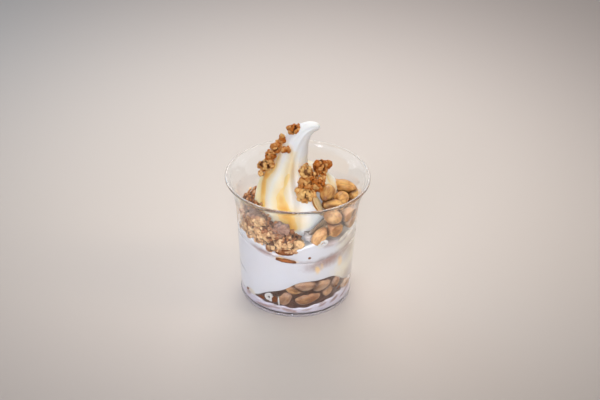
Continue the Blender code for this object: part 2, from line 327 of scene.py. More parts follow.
def scattered(
    name: str, spacing: float, seed: int, wanted: Callable[[np.ndarray, np.ndarray], np.ndarray]
) -> tuple[np.ndarray, np.ndarray]:
    """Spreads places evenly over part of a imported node's surface.

    Args:
        name: The node.
        spacing: The least distance between two places.
        seed: Seeds the choice.
        wanted: Says of each point and normal whether it may be used.

    Returns:
        The places and the outward normals there.
    """
    random = np.random.default_rng(seed)
    corners, normals = node_surface(name)
    areas = np.linalg.norm(np.cross(corners[:, 1] - corners[:, 0], corners[:, 2] - corners[:, 0]), axis=1)
    picks = random.choice(len(areas), size=9000, p=areas / areas.sum())
    shares = random.dirichlet((1, 1, 1), size=len(picks))
    points = (corners[picks] * shares[:, :, None]).sum(1)
    keep = wanted(points, normals[picks])
    points, normals = points[keep], normals[picks][keep]
    kept: list[int] = []
    for i, point in enumerate(points):
        if not kept or np.linalg.norm(points[kept] - point, axis=1).min() > spacing:
            kept.append(i)
    return points[kept], normals[kept]


def drawn_in(node: str, depth: float) -> Shape:
    """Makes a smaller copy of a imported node.

    Args:
        node: The node.
        depth: How far each point goes in along its normal.

    Returns:
        The copy.
    """
    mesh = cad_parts[node].data
    body = bmesh.new()
    body.from_mesh(mesh)
    bmesh.ops.remove_doubles(body, verts=body.verts, dist=1e-6)
    bmesh.ops.subdivide_edges(body, edges=body.edges, cuts=1, use_grid_fill=True)
    bmesh.ops.triangulate(body, faces=body.faces)
    body.normal_update()
    points = np.array([vertex.co - vertex.normal * depth for vertex in body.verts])
    body.verts.index_update()
    faces = np.array([[vertex.index for vertex in face.verts] for face in body.faces])
    body.free()
    points += noise(points, 3 * MM, 14)[:, None] * 0.4 * MM
    return Shape(points, faces)


class Slot(enum.Enum):
    """The record's material slots."""

    GLASS = "clear_glass"
    CREAM = "soft_serve"
    PEANUT = "roasted_peanut"
    GRANOLA = "granola"
    CARAMEL = "caramel_sauce"


def put_in_scene(name: str, data: bpy.types.ID) -> bpy.types.Object:
    """Makes an object and adds it to the scene.

    Args:
        name: The object's name.
        data: Its mesh, lamp or camera.

    Returns:
        The object.
    """
    made = bpy.data.objects.new(name, data)
    bpy.context.scene.collection.objects.link(made)
    return made


def make_piece(
    name: str, shape: Shape, finish: bpy.types.Material, nodes: Sequence[str] = ()
) -> bpy.types.Object:
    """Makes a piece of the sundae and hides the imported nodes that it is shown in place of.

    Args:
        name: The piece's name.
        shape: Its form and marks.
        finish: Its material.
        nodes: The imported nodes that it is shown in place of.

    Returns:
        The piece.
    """
    mesh = bpy.data.meshes.new(name)
    mesh.from_pydata(shape.points.tolist(), [], shape.faces.tolist())
    mesh.shade_smooth()
    for mark, values in shape.marks.items():
        made = mesh.attributes.new(mark, "FLOAT", "POINT")
        made.data.foreach_set("value", values.astype(np.float32))
    mesh.materials.append(finish)
    piece = put_in_scene(name, mesh)
    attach(piece, "root")
    if nodes:
        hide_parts(*nodes)
    LOG.info("%s: %d triangles", name, len(shape.faces))
    return piece


# Finishes

Colour = tuple[float, float, float]


class Tree:
    """Adds and links the nodes of a material or of a node group."""

    def __init__(self, tree: bpy.types.NodeTree) -> None:
        """Starts on a tree."""
        self.tree = tree

    def add(self, kind: str, inputs: dict | None = None, **settings: object) -> bpy.types.Node:
        """Adds a node.

        Args:
            kind: The node's type, without "ShaderNode".
            inputs: Values or output sockets for its inputs, by name or number.
            **settings: Its own properties.

        Returns:
            The node.
        """
        node = self.tree.nodes.new("ShaderNode" + kind)
        for key, value in settings.items():
            setattr(node, key, value)
        for key, value in (inputs or {}).items():
            self.feed(node.inputs[key], value)
        return node

    def feed(self, socket: bpy.types.NodeSocket, value: object) -> None:
        """Links an output socket to an input, or sets a plain value on it.

        Args:
            socket: The input.
            value: The output socket, or the number, vector or colour.
        """
        if isinstance(value, bpy.types.NodeSocket):
            self.tree.links.new(value, socket)
        elif socket.type == "RGBA":
            socket.default_value = (*value, 1)
        else:
            socket.default_value = value

    def mark(self, name: str) -> bpy.types.NodeSocket:
        """The output that reads a mark of the mesh."""
        return self.add("Attribute", attribute_name=name).outputs["Fac"]

    def mix(self, share: object, first: object, second: object) -> bpy.types.NodeSocket:
        """Mixes two colours.

        Args:
            share: How much of the second one shows.
            first: The colour where share is 0.
            second: The colour where share is 1.

        Returns:
            The mixed colour's output.
        """
        node = self.add("Mix", data_type="RGBA", blend_type="MIX")
        for place, value in ((0, share), (6, first), (7, second)):
            self.feed(node.inputs[place], value)
        return node.outputs[2]

    def number(self, how: str, *values: object) -> bpy.types.NodeSocket:
        """Does a sum on numbers.

        Args:
            how: The sum.
            *values: Numbers or output sockets, in the sum's own order.

        Returns:
            The output of the result, kept between 0 and 1.
        """
        node = self.add("Math", operation=how, use_clamp=True)
        for socket, value in zip(node.inputs, values):
            self.feed(socket, value)
        return node.outputs[0]

    def use(self, group: bpy.types.NodeTree, **inputs: object) -> bpy.types.Node:
        """Places a node group.

        Args:
            group: The group.
            **inputs: Values or sockets for its inputs, by name.

        Returns:
            The group's node.
        """
        return self.add("Group", {name.replace("_", " "): v for name, v in inputs.items()}, node_tree=group)


def new_group(
    name: str, inputs: dict[str, float], outputs: Sequence[str]
) -> tuple[Tree, bpy.types.Node, bpy.types.Node]:
    """Starts a node group of plain numbers.

    Args:
        name: The group's name.
        inputs: The names of its inputs, with the value that each has by itself.
        outputs: The names of its outputs.

    Returns:
        Its tree, the node that gives its inputs and the node that takes its outputs.
    """
    group = bpy.data.node_groups.new(name, "ShaderNodeTree")
    for socket, value in inputs.items():
        group.interface.new_socket(socket, in_out="INPUT", socket_type="NodeSocketFloat").default_value = value
    for socket in outputs:
        group.interface.new_socket(socket, in_out="OUTPUT", socket_type="NodeSocketFloat")
    tree = Tree(group)
    return tree, group.nodes.new("NodeGroupInput"), group.nodes.new("NodeGroupOutput")


@lru_cache
def mottle_group() -> bpy.types.NodeTree:
    """Makes the group that gives soft-edged patches.

    Returns:
        The group: Scale is patches to the metre, Low and High are where the patches begin and end.
    """
    tree, given, taken = new_group("Mottle", {"Scale": 300, "Low": 0.4, "High": 0.6, "Detail": 3}, ["Mask"])
    place = tree.add("TexCoord").outputs["Object"]
    inputs = {"Vector": place, "Scale": given.outputs["Scale"], "Detail": given.outputs["Detail"]}
    field_value = tree.add("TexNoise", inputs).outputs["Fac"]
    step = tree.add("MapRange", {"Value": field_value}, interpolation_type="SMOOTHSTEP")
    tree.feed(step.inputs["From Min"], given.outputs["Low"])
    tree.feed(step.inputs["From Max"], given.outputs["High"])
    tree.feed(taken.inputs["Mask"], step.outputs["Result"])
    return tree.tree


@lru_cache
def relief_group() -> bpy.types.NodeTree:
    """Makes the group that gives the height of a fine uneven surface.

    Returns:
        The group: Coarse and Fine are bumps to the metre, and Share is how much of the fine ones.
    """
    tree, given, taken = new_group("Relief", {"Coarse": 400, "Fine": 1500, "Share": 0.4}, ["Height"])
    place = tree.add("TexCoord").outputs["Object"]
    heights = [
        tree.add("TexNoise", {"Vector": place, "Scale": given.outputs[scale], "Detail": 2.0}).outputs["Fac"]
        for scale in ("Coarse", "Fine")
    ]
    both = tree.add("Mix", {0: given.outputs["Share"], 2: heights[0], 3: heights[1]}, data_type="FLOAT")
    tree.feed(taken.inputs["Height"], both.outputs[0])
    return tree.tree


def new_finish(name: str) -> tuple[Tree, bpy.types.Node]:
    """Starts a material.

    Args:
        name: The material's name.

    Returns:
        Its tree and its Principled shader.
    """
    made = bpy.data.materials.new(name)
    made.use_nodes = True
    return Tree(made.node_tree), made.node_tree.nodes["Principled BSDF"]


def add_relief(tree: Tree, shader: bpy.types.Node, depth: float, **scales: float) -> None:
    """Gives a finish a fine uneven surface.

    Args:
        tree: The finish's tree.
        shader: Its shader.
        depth: The relief's height in metres.
        **scales: What the relief group takes.
    """
    height = tree.use(relief_group(), **scales).outputs["Height"]
    bump = tree.add("Bump", {"Height": height, "Strength": 1.0, "Distance": depth})
    tree.feed(shader.inputs["Normal"], bump.outputs["Normal"])


def set_values(shader: bpy.types.Node, **values: object) -> None:
    """Sets plain values on a shader's sockets, which are named with underscores for blanks."""
    for name, value in values.items():
        shader.inputs[name.replace("_", " ")].default_value = value


@dataclass(frozen=True)
class GlassFinish:
    """Clear pressed glass that lets the lamps' light through to the food.

    Light that has been caught between its faces for long is let out, so that the lip isn't black.
    """

    tint: Colour = (0.99, 1.0, 0.997)
    index: float = 1.47
    let_through: Colour = (0.97, 0.98, 0.985)  # what is left of the light that goes straight through
    most_turns: float = 4.0  # how often light may bend or bounce before it is let out

    def made(self) -> bpy.types.Material:
        """Makes the material.

        Returns:
            The glass.
        """
        tree, shader = new_finish("clear_glass_polished")
        set_values(shader, Base_Color=(*self.tint, 1), Roughness=0.0, IOR=self.index, Transmission_Weight=1.0)
        clear = tree.add("BsdfTransparent", {"Color": self.let_through})
        path = tree.add("LightPath")
        caught = tree.number("GREATER_THAN", path.outputs["Ray Depth"], self.most_turns)
        through = tree.number("MAXIMUM", path.outputs["Is Shadow Ray"], caught)
        mixed = tree.add("MixShader", {0: through, 1: shader.outputs[0], 2: clear.outputs[0]})
        output = tree.tree.nodes["Material Output"]
        tree.feed(output.inputs["Surface"], mixed.outputs[0])
        return bpy.data.materials["clear_glass_polished"]


@dataclass(frozen=True)
class CreamFinish:
    """Soft serve, with the marks "caramel", "sauce" and "veil" where other things tint it, and one of painted shade
    with some stain.
    """

    name: str = "soft_serve_cream"
    white: Colour = (0.90, 0.89, 0.87)
    veil: Colour = (0.95, 0.81, 0.47)
    caramel: Colour = (0.91, 0.58, 0.18)
    sauce: Colour = (0.10, 0.022, 0.006)
    # pink-brown painted shade, with some stain, for seams, recesses and gaps
    rose: Colour = (0.34, 0.22, 0.195)
    roughness: float = 0.42
    gloss: float = 0.4

    def made(self) -> bpy.types.Material:
        """Makes the material.

        Returns:
            The soft serve.
        """
        tree, shader = new_finish(self.name)
        edge = tree.use(mottle_group(), Scale=420.0, Low=0.3, High=0.7, Detail=3.0).outputs["Mask"]
        colour: object = self.white
        for mark in ("veil", "rose", "caramel", "sauce"):
            read = tree.mark(mark)
            uneven = tree.number("MULTIPLY_ADD", edge, 0.35, 0.82)
            colour = tree.mix(tree.number("MULTIPLY", read, uneven), colour, getattr(self, mark))
        tree.feed(shader.inputs["Base Color"], colour)
        wet = tree.number("MAXIMUM", tree.mark("caramel"), tree.mark("sauce"))
        tree.feed(shader.inputs["Coat Weight"], tree.number("MULTIPLY", wet, self.gloss))
        set_values(shader, Roughness=self.roughness, Subsurface_Weight=0.22, Subsurface_Scale=0.004)
        set_values(shader, Subsurface_Radius=(1.0, 0.8, 0.62), Specular_IOR_Level=self.gloss, Coat_Roughness=0.2)
        add_relief(tree, shader, 0.00006, Coarse=500.0, Fine=2200.0, Share=0.35)
        return bpy.data.materials[self.name]


@dataclass(frozen=True)
class PeanutFinish:
    """Skinless roasted peanuts.

    The marks are "roast", how dark each is, "tip" at its ends, "flesh" on a split face, one of painted
    shade where others lie against it, and "milk" where melted cream lies over it.
    """

    name: str = "roasted_peanut_kernel"
    pale: Colour = (0.82, 0.47, 0.155)
    dark: Colour = (0.44, 0.165, 0.032)
    tip: Colour = (0.22, 0.07, 0.014)
    flesh: Colour = (0.94, 0.70, 0.38)
    # near-black painted shade where other kernels touch
    nook: Colour = (0.07, 0.018, 0.004)
    milk: Colour = (0.46, 0.31, 0.22)

    def made(self) -> bpy.types.Material:
        """Makes the material.

        Returns:
            The peanuts' finish.
        """
        tree, shader = new_finish(self.name)
        patches = tree.use(mottle_group(), Scale=210.0, Low=0.42, High=0.68, Detail=4.0).outputs["Mask"]
        specks = tree.use(mottle_group(), Scale=900.0, Low=0.62, High=0.74, Detail=2.0).outputs["Mask"]
        roast = tree.number("MULTIPLY_ADD", patches, 0.5, tree.number("MULTIPLY", tree.mark("roast"), 0.75))
        colour = tree.mix(roast, self.pale, self.dark)
        colour = tree.mix(tree.number("MULTIPLY", specks, 0.5), colour, self.tip)
        colour = tree.mix(tree.number("MULTIPLY", tree.mark("tip"), 0.7), colour, self.tip)
        colour = tree.mix(tree.mark("flesh"), colour, self.flesh)
        film = tree.use(mottle_group(), Scale=180.0, Low=0.3, High=0.75, Detail=3.0).outputs["Mask"]
        smeared = tree.number("MULTIPLY", tree.number("MULTIPLY_ADD", film, 0.8, 0.4), tree.mark("milk"))
        colour = tree.mix(smeared, colour, self.milk)
        # painted contact shade, darkest where a neighbour touches
        colour = tree.mix(tree.number("MULTIPLY", tree.mark("nook"), 0.92), colour, self.nook)
        tree.feed(shader.inputs["Base Color"], colour)
        shine = tree.use(mottle_group(), Scale=500.0, Low=0.3, High=0.7, Detail=2.0).outputs["Mask"]
        tree.feed(shader.inputs["Roughness"], tree.number("MULTIPLY_ADD", shine, 0.18, 0.34))
        set_values(shader, Coat_Weight=0.1, Coat_Roughness=0.25, Specular_IOR_Level=0.3)
        set_values(shader, Subsurface_Weight=0.08, Subsurface_Scale=0.002)
        add_relief(tree, shader, 0.0001, Coarse=700.0, Fine=2600.0, Share=0.35)
        return bpy.data.materials[self.name]


@dataclass(frozen=True)
class GranolaFinish:
    """Baked oats.

    The marks are "bake", how brown each grain is, one of painted shade, darker the deeper a point lies,
    and "haze", how much melted cream clouds it.
    """

    name: str = "granola_baked_oats"
    pale: Colour = (0.97, 0.60, 0.225)
    brown: Colour = (0.46, 0.125, 0.012)
    # near-black painted shade in the crevices
    deep: Colour = (0.065, 0.011, 0.002)
    haze: Colour = (0.40, 0.285, 0.25)

    def made(self) -> bpy.types.Material:
        """Makes the material.

        Returns:
            The granola's finish.
        """
        tree, shader = new_finish(self.name)
        patches = tree.use(mottle_group(), Scale=650.0, Low=0.36, High=0.66, Detail=4.0).outputs["Mask"]
        bake = tree.number("MULTIPLY_ADD", patches, 0.3, tree.number("MULTIPLY", tree.mark("bake"), 0.85))
        colour = tree.mix(bake, self.pale, self.brown)
        colour = tree.mix(tree.mark("crevice"), colour, self.deep)
        colour = tree.mix(tree.mark("haze"), colour, self.haze)
        tree.feed(shader.inputs["Base Color"], colour)
        tree.feed(shader.inputs["Roughness"], tree.number("MULTIPLY_ADD", patches, 0.25, 0.38))
        set_values(shader, Coat_Weight=0.05, Coat_Roughness=0.3, Specular_IOR_Level=0.14)
        add_relief(tree, shader, 0.00015, Coarse=1100.0, Fine=3000.0, Share=0.4)
        return bpy.data.materials[self.name]


@dataclass(frozen=True)
class CaramelFinish:
    """Caramel sauce, paler where the mark "thin" says that little lies there."""

    name: str = "caramel_sauce_glossy"
    deep: Colour = (0.83, 0.42, 0.075)
    thin: Colour = (0.93, 0.64, 0.24)
    roughness: float = 0.38

    def made(self) -> bpy.types.Material:
        """Makes the material.

        Returns:
            The sauce.
        """
        tree, shader = new_finish(self.name)
        flow = tree.use(mottle_group(), Scale=260.0, Low=0.35, High=0.7, Detail=2.0).outputs["Mask"]
        share = tree.number("MULTIPLY_ADD", flow, 0.2, tree.mark("thin"))
        tree.feed(shader.inputs["Base Color"], tree.mix(share, self.deep, self.thin))
        set_values(shader, Roughness=self.roughness, Coat_Weight=0.1, Coat_Roughness=0.2, Specular_IOR_Level=0.3)
        set_values(shader, Subsurface_Weight=0.15, Subsurface_Scale=0.003)
        add_relief(tree, shader, 0.00003, Coarse=300.0, Fine=900.0, Share=0.3)
        return bpy.data.materials[self.name]


@dataclass(frozen=True)
class FloorFinish:
    """The plain pale table, painted a little darker away from its middle as a falloff of the lamps' light."""

    colour: Colour = (0.70, 0.625, 0.57)
    # painted falloff of light towards the table's edges
    far: Colour = (0.36, 0.32, 0.295)

    def made(self) -> bpy.types.Material:
        """Makes the material.

        Returns:
            The table's finish.
        """
        tree, shader = new_finish("pale_table")
        place = tree.add("TexCoord").outputs["Object"]
        away = tree.add("VectorMath", {0: place, 1: (0.0, 0.13, 0.0)}, operation="DISTANCE").outputs["Value"]
        reach = {"Value": away, "From Min": 0.15, "From Max": 0.55}
        share = tree.add("MapRange", reach, interpolation_type="SMOOTHSTEP")
        tree.feed(shader.inputs["Base Color"], tree.mix(share.outputs["Result"], self.colour, self.far))
        set_values(shader, Roughness=0.7, Specular_IOR_Level=0.25)
        return bpy.data.materials["pale_table"]


# Glass


@dataclass
class GlassCup:
    """The turned glass: a slight taper, then a flared lip."""

    height: float = 84 * MM
    rim_radius: float = 45 * MM
    low_radius: float = 35.2 * MM
    shoulder_radius: float = 38.1 * MM
    shoulder_height: float = 60 * MM
    flare_power: float = 1.9
    wall: float = 1.9 * MM
    bead: float = 1.3 * MM  # radius of the rounded foot
    bead_out: float = 0.45 * MM  # how far it stands out past the wall
    floor: float = 2.0 * MM
    fillet: float = 2.0 * MM
    foot_inside: float = 27 * MM
    foot_dish: float = 0.6 * MM
    segments: int = 256

    def outer(self, z: np.ndarray) -> np.ndarray:
        """The wall's outside radius.

        Args:
            z: The heights.

        Returns:
            The radius at each height.
        """
        slope = (self.shoulder_radius - self.low_radius) / (self.shoulder_height - self.bead)
        straight = self.low_radius + slope * (np.asarray(z, float) - self.bead)
        top = self.low_radius + slope * (self.height - self.bead)
        share = (z - self.shoulder_height) / (self.height - self.shoulder_height)
        return straight + (self.rim_radius - top) * np.clip(share, 0, 1) ** self.flare_power

    def inner(self, z: np.ndarray) -> np.ndarray:
        """The wall's inside radius, with the fillet above the floor.

        Args:
            z: The heights.

        Returns:
            The radius at each height.
        """
        below = np.clip(self.floor + self.fillet - np.asarray(z, float), 0, self.fillet)
        drawn_in = self.fillet - np.sqrt(self.fillet**2 - below**2)
        return self.outer(z) - self.wall - drawn_in

    def profile(self) -> np.ndarray:
        """The half section, from the foot's middle out, over the lip and down to the floor's middle.

        Returns:
            Pairs of a radius and a height.
        """
        quarter = np.radians(np.linspace(0, 90, 8))
        ring = 0.7 * MM
        flats = (1e-6, 12 * MM, 22 * MM, self.foot_inside - 1.6 * MM, self.foot_inside - 1.0 * MM)
        dish = [(r, self.foot_dish) for r in (*flats, self.foot_inside - ring)]
        dish += [(self.foot_inside - ring + ring * math.sin(t) * 0.9, self.foot_dish * math.cos(t)) for t in quarter]
        bead_r = self.low_radius + self.bead_out - self.bead
        last = math.acos((self.bead - self.bead_out) / self.bead)
        turns = np.linspace(-math.pi / 2, last, 14)
        heel = [(bead_r + self.bead * math.cos(t), self.bead * (1 + math.sin(t))) for t in turns]
        lip = self.wall / 2
        lip_z = self.height - lip
        heights = np.linspace(heel[-1][1] + 0.15 * MM, lip_z, 44)[:-1]
        outside = list(zip(self.outer(heights), heights))
        over = np.radians(np.linspace(0, 180, 15))
        rim = [(self.rim_radius - lip + lip * math.cos(t), lip_z + lip * math.sin(t)) for t in over]
        heights = np.linspace(lip_z, self.floor + self.fillet, 44)[1:]
        inside = list(zip(self.inner(heights), heights))
        corner_r = float(self.inner(self.floor + self.fillet)) - self.fillet
        corner = [
            (corner_r + self.fillet * math.cos(t), self.floor + self.fillet * (1 - math.sin(t)))
            for t in quarter[1:]
        ]
        floor = [(corner_r - 0.3 * MM, self.floor), (corner_r - 1.0 * MM, self.floor)]
        floor += [(r, self.floor) for r in (22 * MM, 12 * MM, 1e-6)]
        return np.array(dish + heel + outside + rim + inside + corner + floor)

    def build(self) -> None:
        """Turns the glass."""
        profile = self.profile()
        points = at(profile[:, :1], whole_turn(self.segments), profile[:, 1:])
        make_piece("glass_cup_turned", sheet_of(points), GlassFinish().made(), ["glass_cup"])


# Soft serve in the glass


@dataclass(frozen=True)
class Patch:
    """A rounded patch on the wall, in millimetres and degrees, that tints or dents the soft serve."""

    azimuth: float
    height: float
    half_width: float
    half_height: float
    tilt: float = 0.0
    strength: float = 1.0
    softness: float = 0.35

    def mask(self, points: np.ndarray) -> np.ndarray:
        """Reads the patch.

        Args:
            points: Points at the wall.

        Returns:
            Its strength at each point, 0 outside.
        """
        x = radius_of(points) / MM * np.radians(turn_between(azimuth_of(points), self.azimuth))
        y = points[:, 2] / MM - self.height
        turn = math.radians(self.tilt)
        across = (x * math.cos(turn) + y * math.sin(turn)) / self.half_width
        up = (y * math.cos(turn) - x * math.sin(turn)) / self.half_height
        edge = np.hypot(across, up) + 0.16 * noise(points, 1.6 * MM, 3) + 0.12 * noise(points, 3.5 * MM, 4)
        return self.strength * (1 - smooth_step(edge, 1 - self.softness, 1 + self.softness))


def strongest(patches: Iterable[Patch], points: np.ndarray) -> np.ndarray:
    """The strongest of some patches at each point.

    Args:
        patches: The patches.
        points: Points at the wall.

    Returns:
        A number from 0 to 1 for each point.
    """
    return np.max([patch.mask(points) for patch in patches], axis=0)


@dataclass
class BaseCream:
    """The bed of soft serve on the cup's floor."""

    cup: GlassCup
    top: float = 6 * MM
    wall_foot: float = 4.4 * MM  # where the wall's rows are counted from, just above the fillet
    columns: int = 288
    rise: Stations = (
        (-180, 0.6), (-120, 0.0), (-75, 0.4), (-58, 1.6), (-46, 0.6), (-30, -0.3), (-14, 0.2), (-6, -0.6), (3, -0.9),
        (12, -0.4), (24, 0.6), (36, 1.8), (48, 3.0), (60, 4.2), (72, 4.4), (88, 3.0), (110, 1.0), (140, 0.4),
    )
    smears: tuple[Patch, ...] = (
        Patch(-36, 4.2, 6.4, 1.0, 6, 0.9),
        Patch(-22, 5.6, 3.6, 0.9, -6, 0.7),
        Patch(-6, 4.6, 4.6, 1.3, -12, 0.85),
        Patch(-58, 7.4, 2.6, 1.9, 30, 0.9),
        Patch(12, 5.0, 3.4, 0.7, 8, 0.6),
        Patch(30, 6.9, 2.6, 1.0, 20, 0.8),
        Patch(45, 7.6, 3.4, 1.2, 24, 0.9),
        Patch(60, 7.0, 3.6, 0.8, 16, 0.8),
        Patch(70, 9.4, 4.6, 1.2, 10, 0.8),
        Patch(98, 5.0, 4.6, 0.9, -3, 0.6),
        Patch(140, 6.4, 3.6, 1.0, 5, 0.6),
        Patch(-170, 4.6, 5.2, 0.8, 2, 0.55),
        Patch(-128, 6.2, 3.4, 1.0, -6, 0.7),
        Patch(-98, 4.4, 4.0, 0.8, 3, 0.5),
    )

    def surface(self, azimuth: np.ndarray, share: np.ndarray) -> np.ndarray:
        """The bed's top.

        Args:
            azimuth: Where it is read.
            share: How far out, in shares of the wall's radius.

        Returns:
            The heights.
        """
        rise = round_the_cup(azimuth, self.rise, 3) + 0.25 * np.sin(np.radians(23 * azimuth)) + 0.5
        return self.top + (rise * share + 1.2 * (1 - share**2)) * MM

    def build(self, finish: bpy.types.Material) -> None:
        """Makes the bed.

        Args:
            finish: Its material.
        """
        azimuths = whole_turn(self.columns)
        under = self.floor_rows(azimuths)
        wall_top = self.surface(azimuths, np.ones_like(azimuths))
        shares = np.linspace(0, 1, 22)[1:, None]
        z = self.wall_foot + (wall_top - self.wall_foot) * shares
        wall = at(self.cup.inner(z) + INTO_GLASS, azimuths, z)
        shares = np.linspace(1, 0.001, 14)[1:, None]
        z = self.surface(azimuths, shares * np.ones_like(azimuths))
        above = at(shares * (self.cup.inner(z) + INTO_GLASS), azimuths, z)
        shape = sheet_of(np.concatenate([under, wall, above]))
        shape.marked(sauce=0.0, caramel=0.0, veil=0.0, rose=strongest(self.smears, shape.points))
        make_piece("base_cream_bed", shape, finish, ["base_cream"])

    def floor_rows(self, azimuths: np.ndarray) -> np.ndarray:
        """Makes the underside, across the floor and up the fillet, just into the glass.

        Args:
            azimuths: The azimuths of each row's points.

        Returns:
            The rows of points.
        """
        flat = self.cup.floor - INTO_GLASS / 2
        edge = float(self.cup.inner(self.cup.floor))
        rows = [at(edge * share, azimuths, flat) for share in (0.001, 0.5, 0.9, 1)]
        for z in np.linspace(self.cup.floor, self.cup.floor + self.cup.fillet, 8):
            rows.append(at(self.cup.inner(z) + INTO_GLASS, azimuths, z))
        return np.concatenate(rows)


@dataclass
class LowerSoftServe:
    """The thick band of soft serve, which was folded over itself and pressed against the glass."""

    cup: GlassCup
    base: BaseCream
    flat_top: float = 52.4 * MM
    edge: float = 1.6 * MM  # radius of its rounded upper edge
    heel: float = 0.9 * MM  # height of its turned-in lower edge
    columns: int = 576
    foot: Stations = (
        (-180, 7.5), (-150, 7.2), (-120, 7.4), (-90, 7.4), (-70, 7.0), (-56, 7.4), (-46, 9.2),
        (-39, 12.0), (-33, 14.4), (-28, 15.6), (-21, 17.4), (-10, 21.0), (-1, 25.2), (10, 26.4), (20, 26.8),
        (31, 26.6), (40, 26.2), (46, 25.0), (52, 22.0), (58, 18.8), (66, 16.6), (80, 15.4), (95, 14.0), (115, 11.8),
        (135, 9.4), (155, 7.9),
    )
    seam: Stations = (
        (-180, 40.5), (-140, 43.5), (-100, 46.2), (-70, 47.4), (-40, 46.4), (-21, 45.0), (-10, 43.8),
        (0, 42.2), (13, 40.8), (25, 41.6), (40, 43.2), (55, 44.6), (75, 45.2), (100, 43.0), (140, 40.0),
    )
    lower_seam: Stations = (
        (-180, 24.0), (-130, 27.5), (-90, 24.5), (-60, 21.0), (-40, 19.5), (80, 29.0), (110, 26.5), (150, 22.5),
    )
    lens: Patch = Patch(-10, 43.9, 6.6, 1.45, -8, 0.95, 0.3)
    pool: Patch = Patch(-10.5, 49.9, 6.2, 2.0, 3, 1.0, 0.25)
    recess: Patch = Patch(33, 39.8, 12.0, 3.0, 9, 1.0, 0.7)
    caramels: tuple[Patch, ...] = (
        Patch(22, 35.4, 1.4, 3.0, 12, 0.6, 0.6),
        Patch(26.5, 37.6, 1.0, 2.2, 6, 0.35, 0.7),
        Patch(48.5, 36.4, 1.8, 3.4, 6, 0.5, 0.6),
        Patch(118, 42.0, 5.0, 1.2, -6, 0.75),
        Patch(-128, 44.8, 6.0, 1.2, 5, 0.7),
        Patch(170, 41.2, 4.2, 1.1, 0, 0.6),
    )
    # painted shade, with some sauce stain, in the seams, the recess and along the band's top
    roses: tuple[Patch, ...] = (
        Patch(-33, 46.4, 9.0, 1.5, -8, 0.85, 0.7),
        Patch(-14, 45.4, 7.5, 1.3, -6, 0.5, 0.6),
        Patch(34, 40.4, 12.5, 3.6, 10, 1.0, 0.8),
        Patch(56, 44.2, 7.5, 3.0, 16, 0.75, 0.8),
        Patch(8, 42.0, 8.0, 1.4, 0, 0.35, 0.6),
        Patch(36, 53.4, 6.0, 2.2, 4, 0.6, 0.7),
        Patch(52, 52.4, 6.0, 1.8, 14, 0.5, 0.7),
        Patch(63, 43.0, 7.0, 8.0, 0, 0.4, 0.8),
        Patch(64, 20.0, 8.0, 6.0, 0, 0.45, 0.8),
        Patch(96, 42.8, 11.0, 1.6, -6, 0.6),
        Patch(-104, 45.6, 12.0, 1.4, 4, 0.6),
        Patch(-168, 41.0, 12.0, 1.4, 0, 0.55),
        Patch(150, 39.8, 9.0, 1.4, 0, 0.5),
    )
    veils: tuple[Patch, ...] = (
        Patch(58, 47.5, 8.0, 8.0, 0, 0.35, 0.7),
        Patch(74, 38.0, 8.0, 14.0, 0, 0.4, 0.7),
        Patch(56, 26.0, 9.0, 8.0, 0, 0.4, 0.8),
        Patch(150, 46.0, 14.0, 6.0, 0, 0.5, 0.7),
        Patch(-140, 34.0, 16.0, 8.0, 0, 0.35, 0.8),
    )

    def top(self, azimuth: np.ndarray, share: np.ndarray) -> np.ndarray:
        """The band's top: level under the swirl, with a dip and a crest at the front of the wall.

        Args:
            azimuth: Where it is read.
            share: How far out, in shares of the wall's radius.

        Returns:
            The heights.
        """
        dip, crest = -4.0 * bell(azimuth, -20, 13), 2.8 * bell(azimuth, 19, 14)
        uneven = 0.9 * np.sin(np.radians(2 * azimuth - 35)) + 0.35 * np.sin(np.radians(7 * azimuth))
        return self.flat_top + (dip + crest + uneven) * smooth_step(share, 0.7, 1) * MM

    def dents(self, points: np.ndarray) -> np.ndarray:
        """How far the soft serve stands back from the glass: at the seams, the recess and a few pits.

        Args:
            points: Points at the wall.

        Returns:
            The depth at each point.
        """
        azimuth, z = azimuth_of(points), points[:, 2] / MM
        wander = 0.5 * noise(points, 7 * MM, 1)
        seam = bell(z - round_the_cup(azimuth, self.seam) - wander, 0, 0.75)
        open_seam = 0.75 + 0.45 * noise(points, 16 * MM, 2)
        low = bell(z - round_the_cup(azimuth, self.lower_seam, 12) - wander * 2, 0, 0.7)
        behind = smooth_step(np.abs(turn_between(azimuth, 15)), 62, 84)
        depth = 0.42 * seam * open_seam + 0.35 * low * behind + 0.3 * self.recess.mask(points)
        return depth * MM

    def build(self, finish: bpy.types.Material) -> None:
        """Makes the band.

        Args:
            finish: Its material.
        """
        azimuths = whole_turn(self.columns)
        foot = round_the_cup(azimuths, self.foot) * MM + 0.3 * MM * np.sin(np.radians(11 * azimuths + 20))
        top = self.top(azimuths, np.ones_like(azimuths))
        under = [at(radius, azimuths, foot) for radius in (1e-6, 20 * MM, 30 * MM)]
        under.append(at(self.cup.inner(foot) - 1.6 * MM, azimuths, foot))
        under.append(at(self.cup.inner(foot) - 0.5 * MM, azimuths, foot + 0.25 * MM))
        shares = np.linspace(0, 1, 104)[:, None]
        z = foot + self.heel + (top - self.edge - foot - self.heel) * shares
        wall = at(self.cup.inner(z) + INTO_GLASS, azimuths, z)
        turns = np.radians(np.linspace(0, 90, 8))[1:, None]
        z = top - self.edge + self.edge * np.sin(turns)
        rolled = at(self.cup.inner(z) + INTO_GLASS - self.edge * (1 - np.cos(turns)), azimuths, z)
        shares = np.linspace(0.94, 0.001, 14)[:, None]
        z = self.top(azimuths, shares * np.ones_like(azimuths))
        above = at(shares * self.cup.inner(z), azimuths, z)
        shape = sheet_of(np.concatenate([*under, wall, rolled, above]))
        self.press(shape)
        make_piece("lower_soft_serve_band", shape, finish, ["lower_soft_serve"])

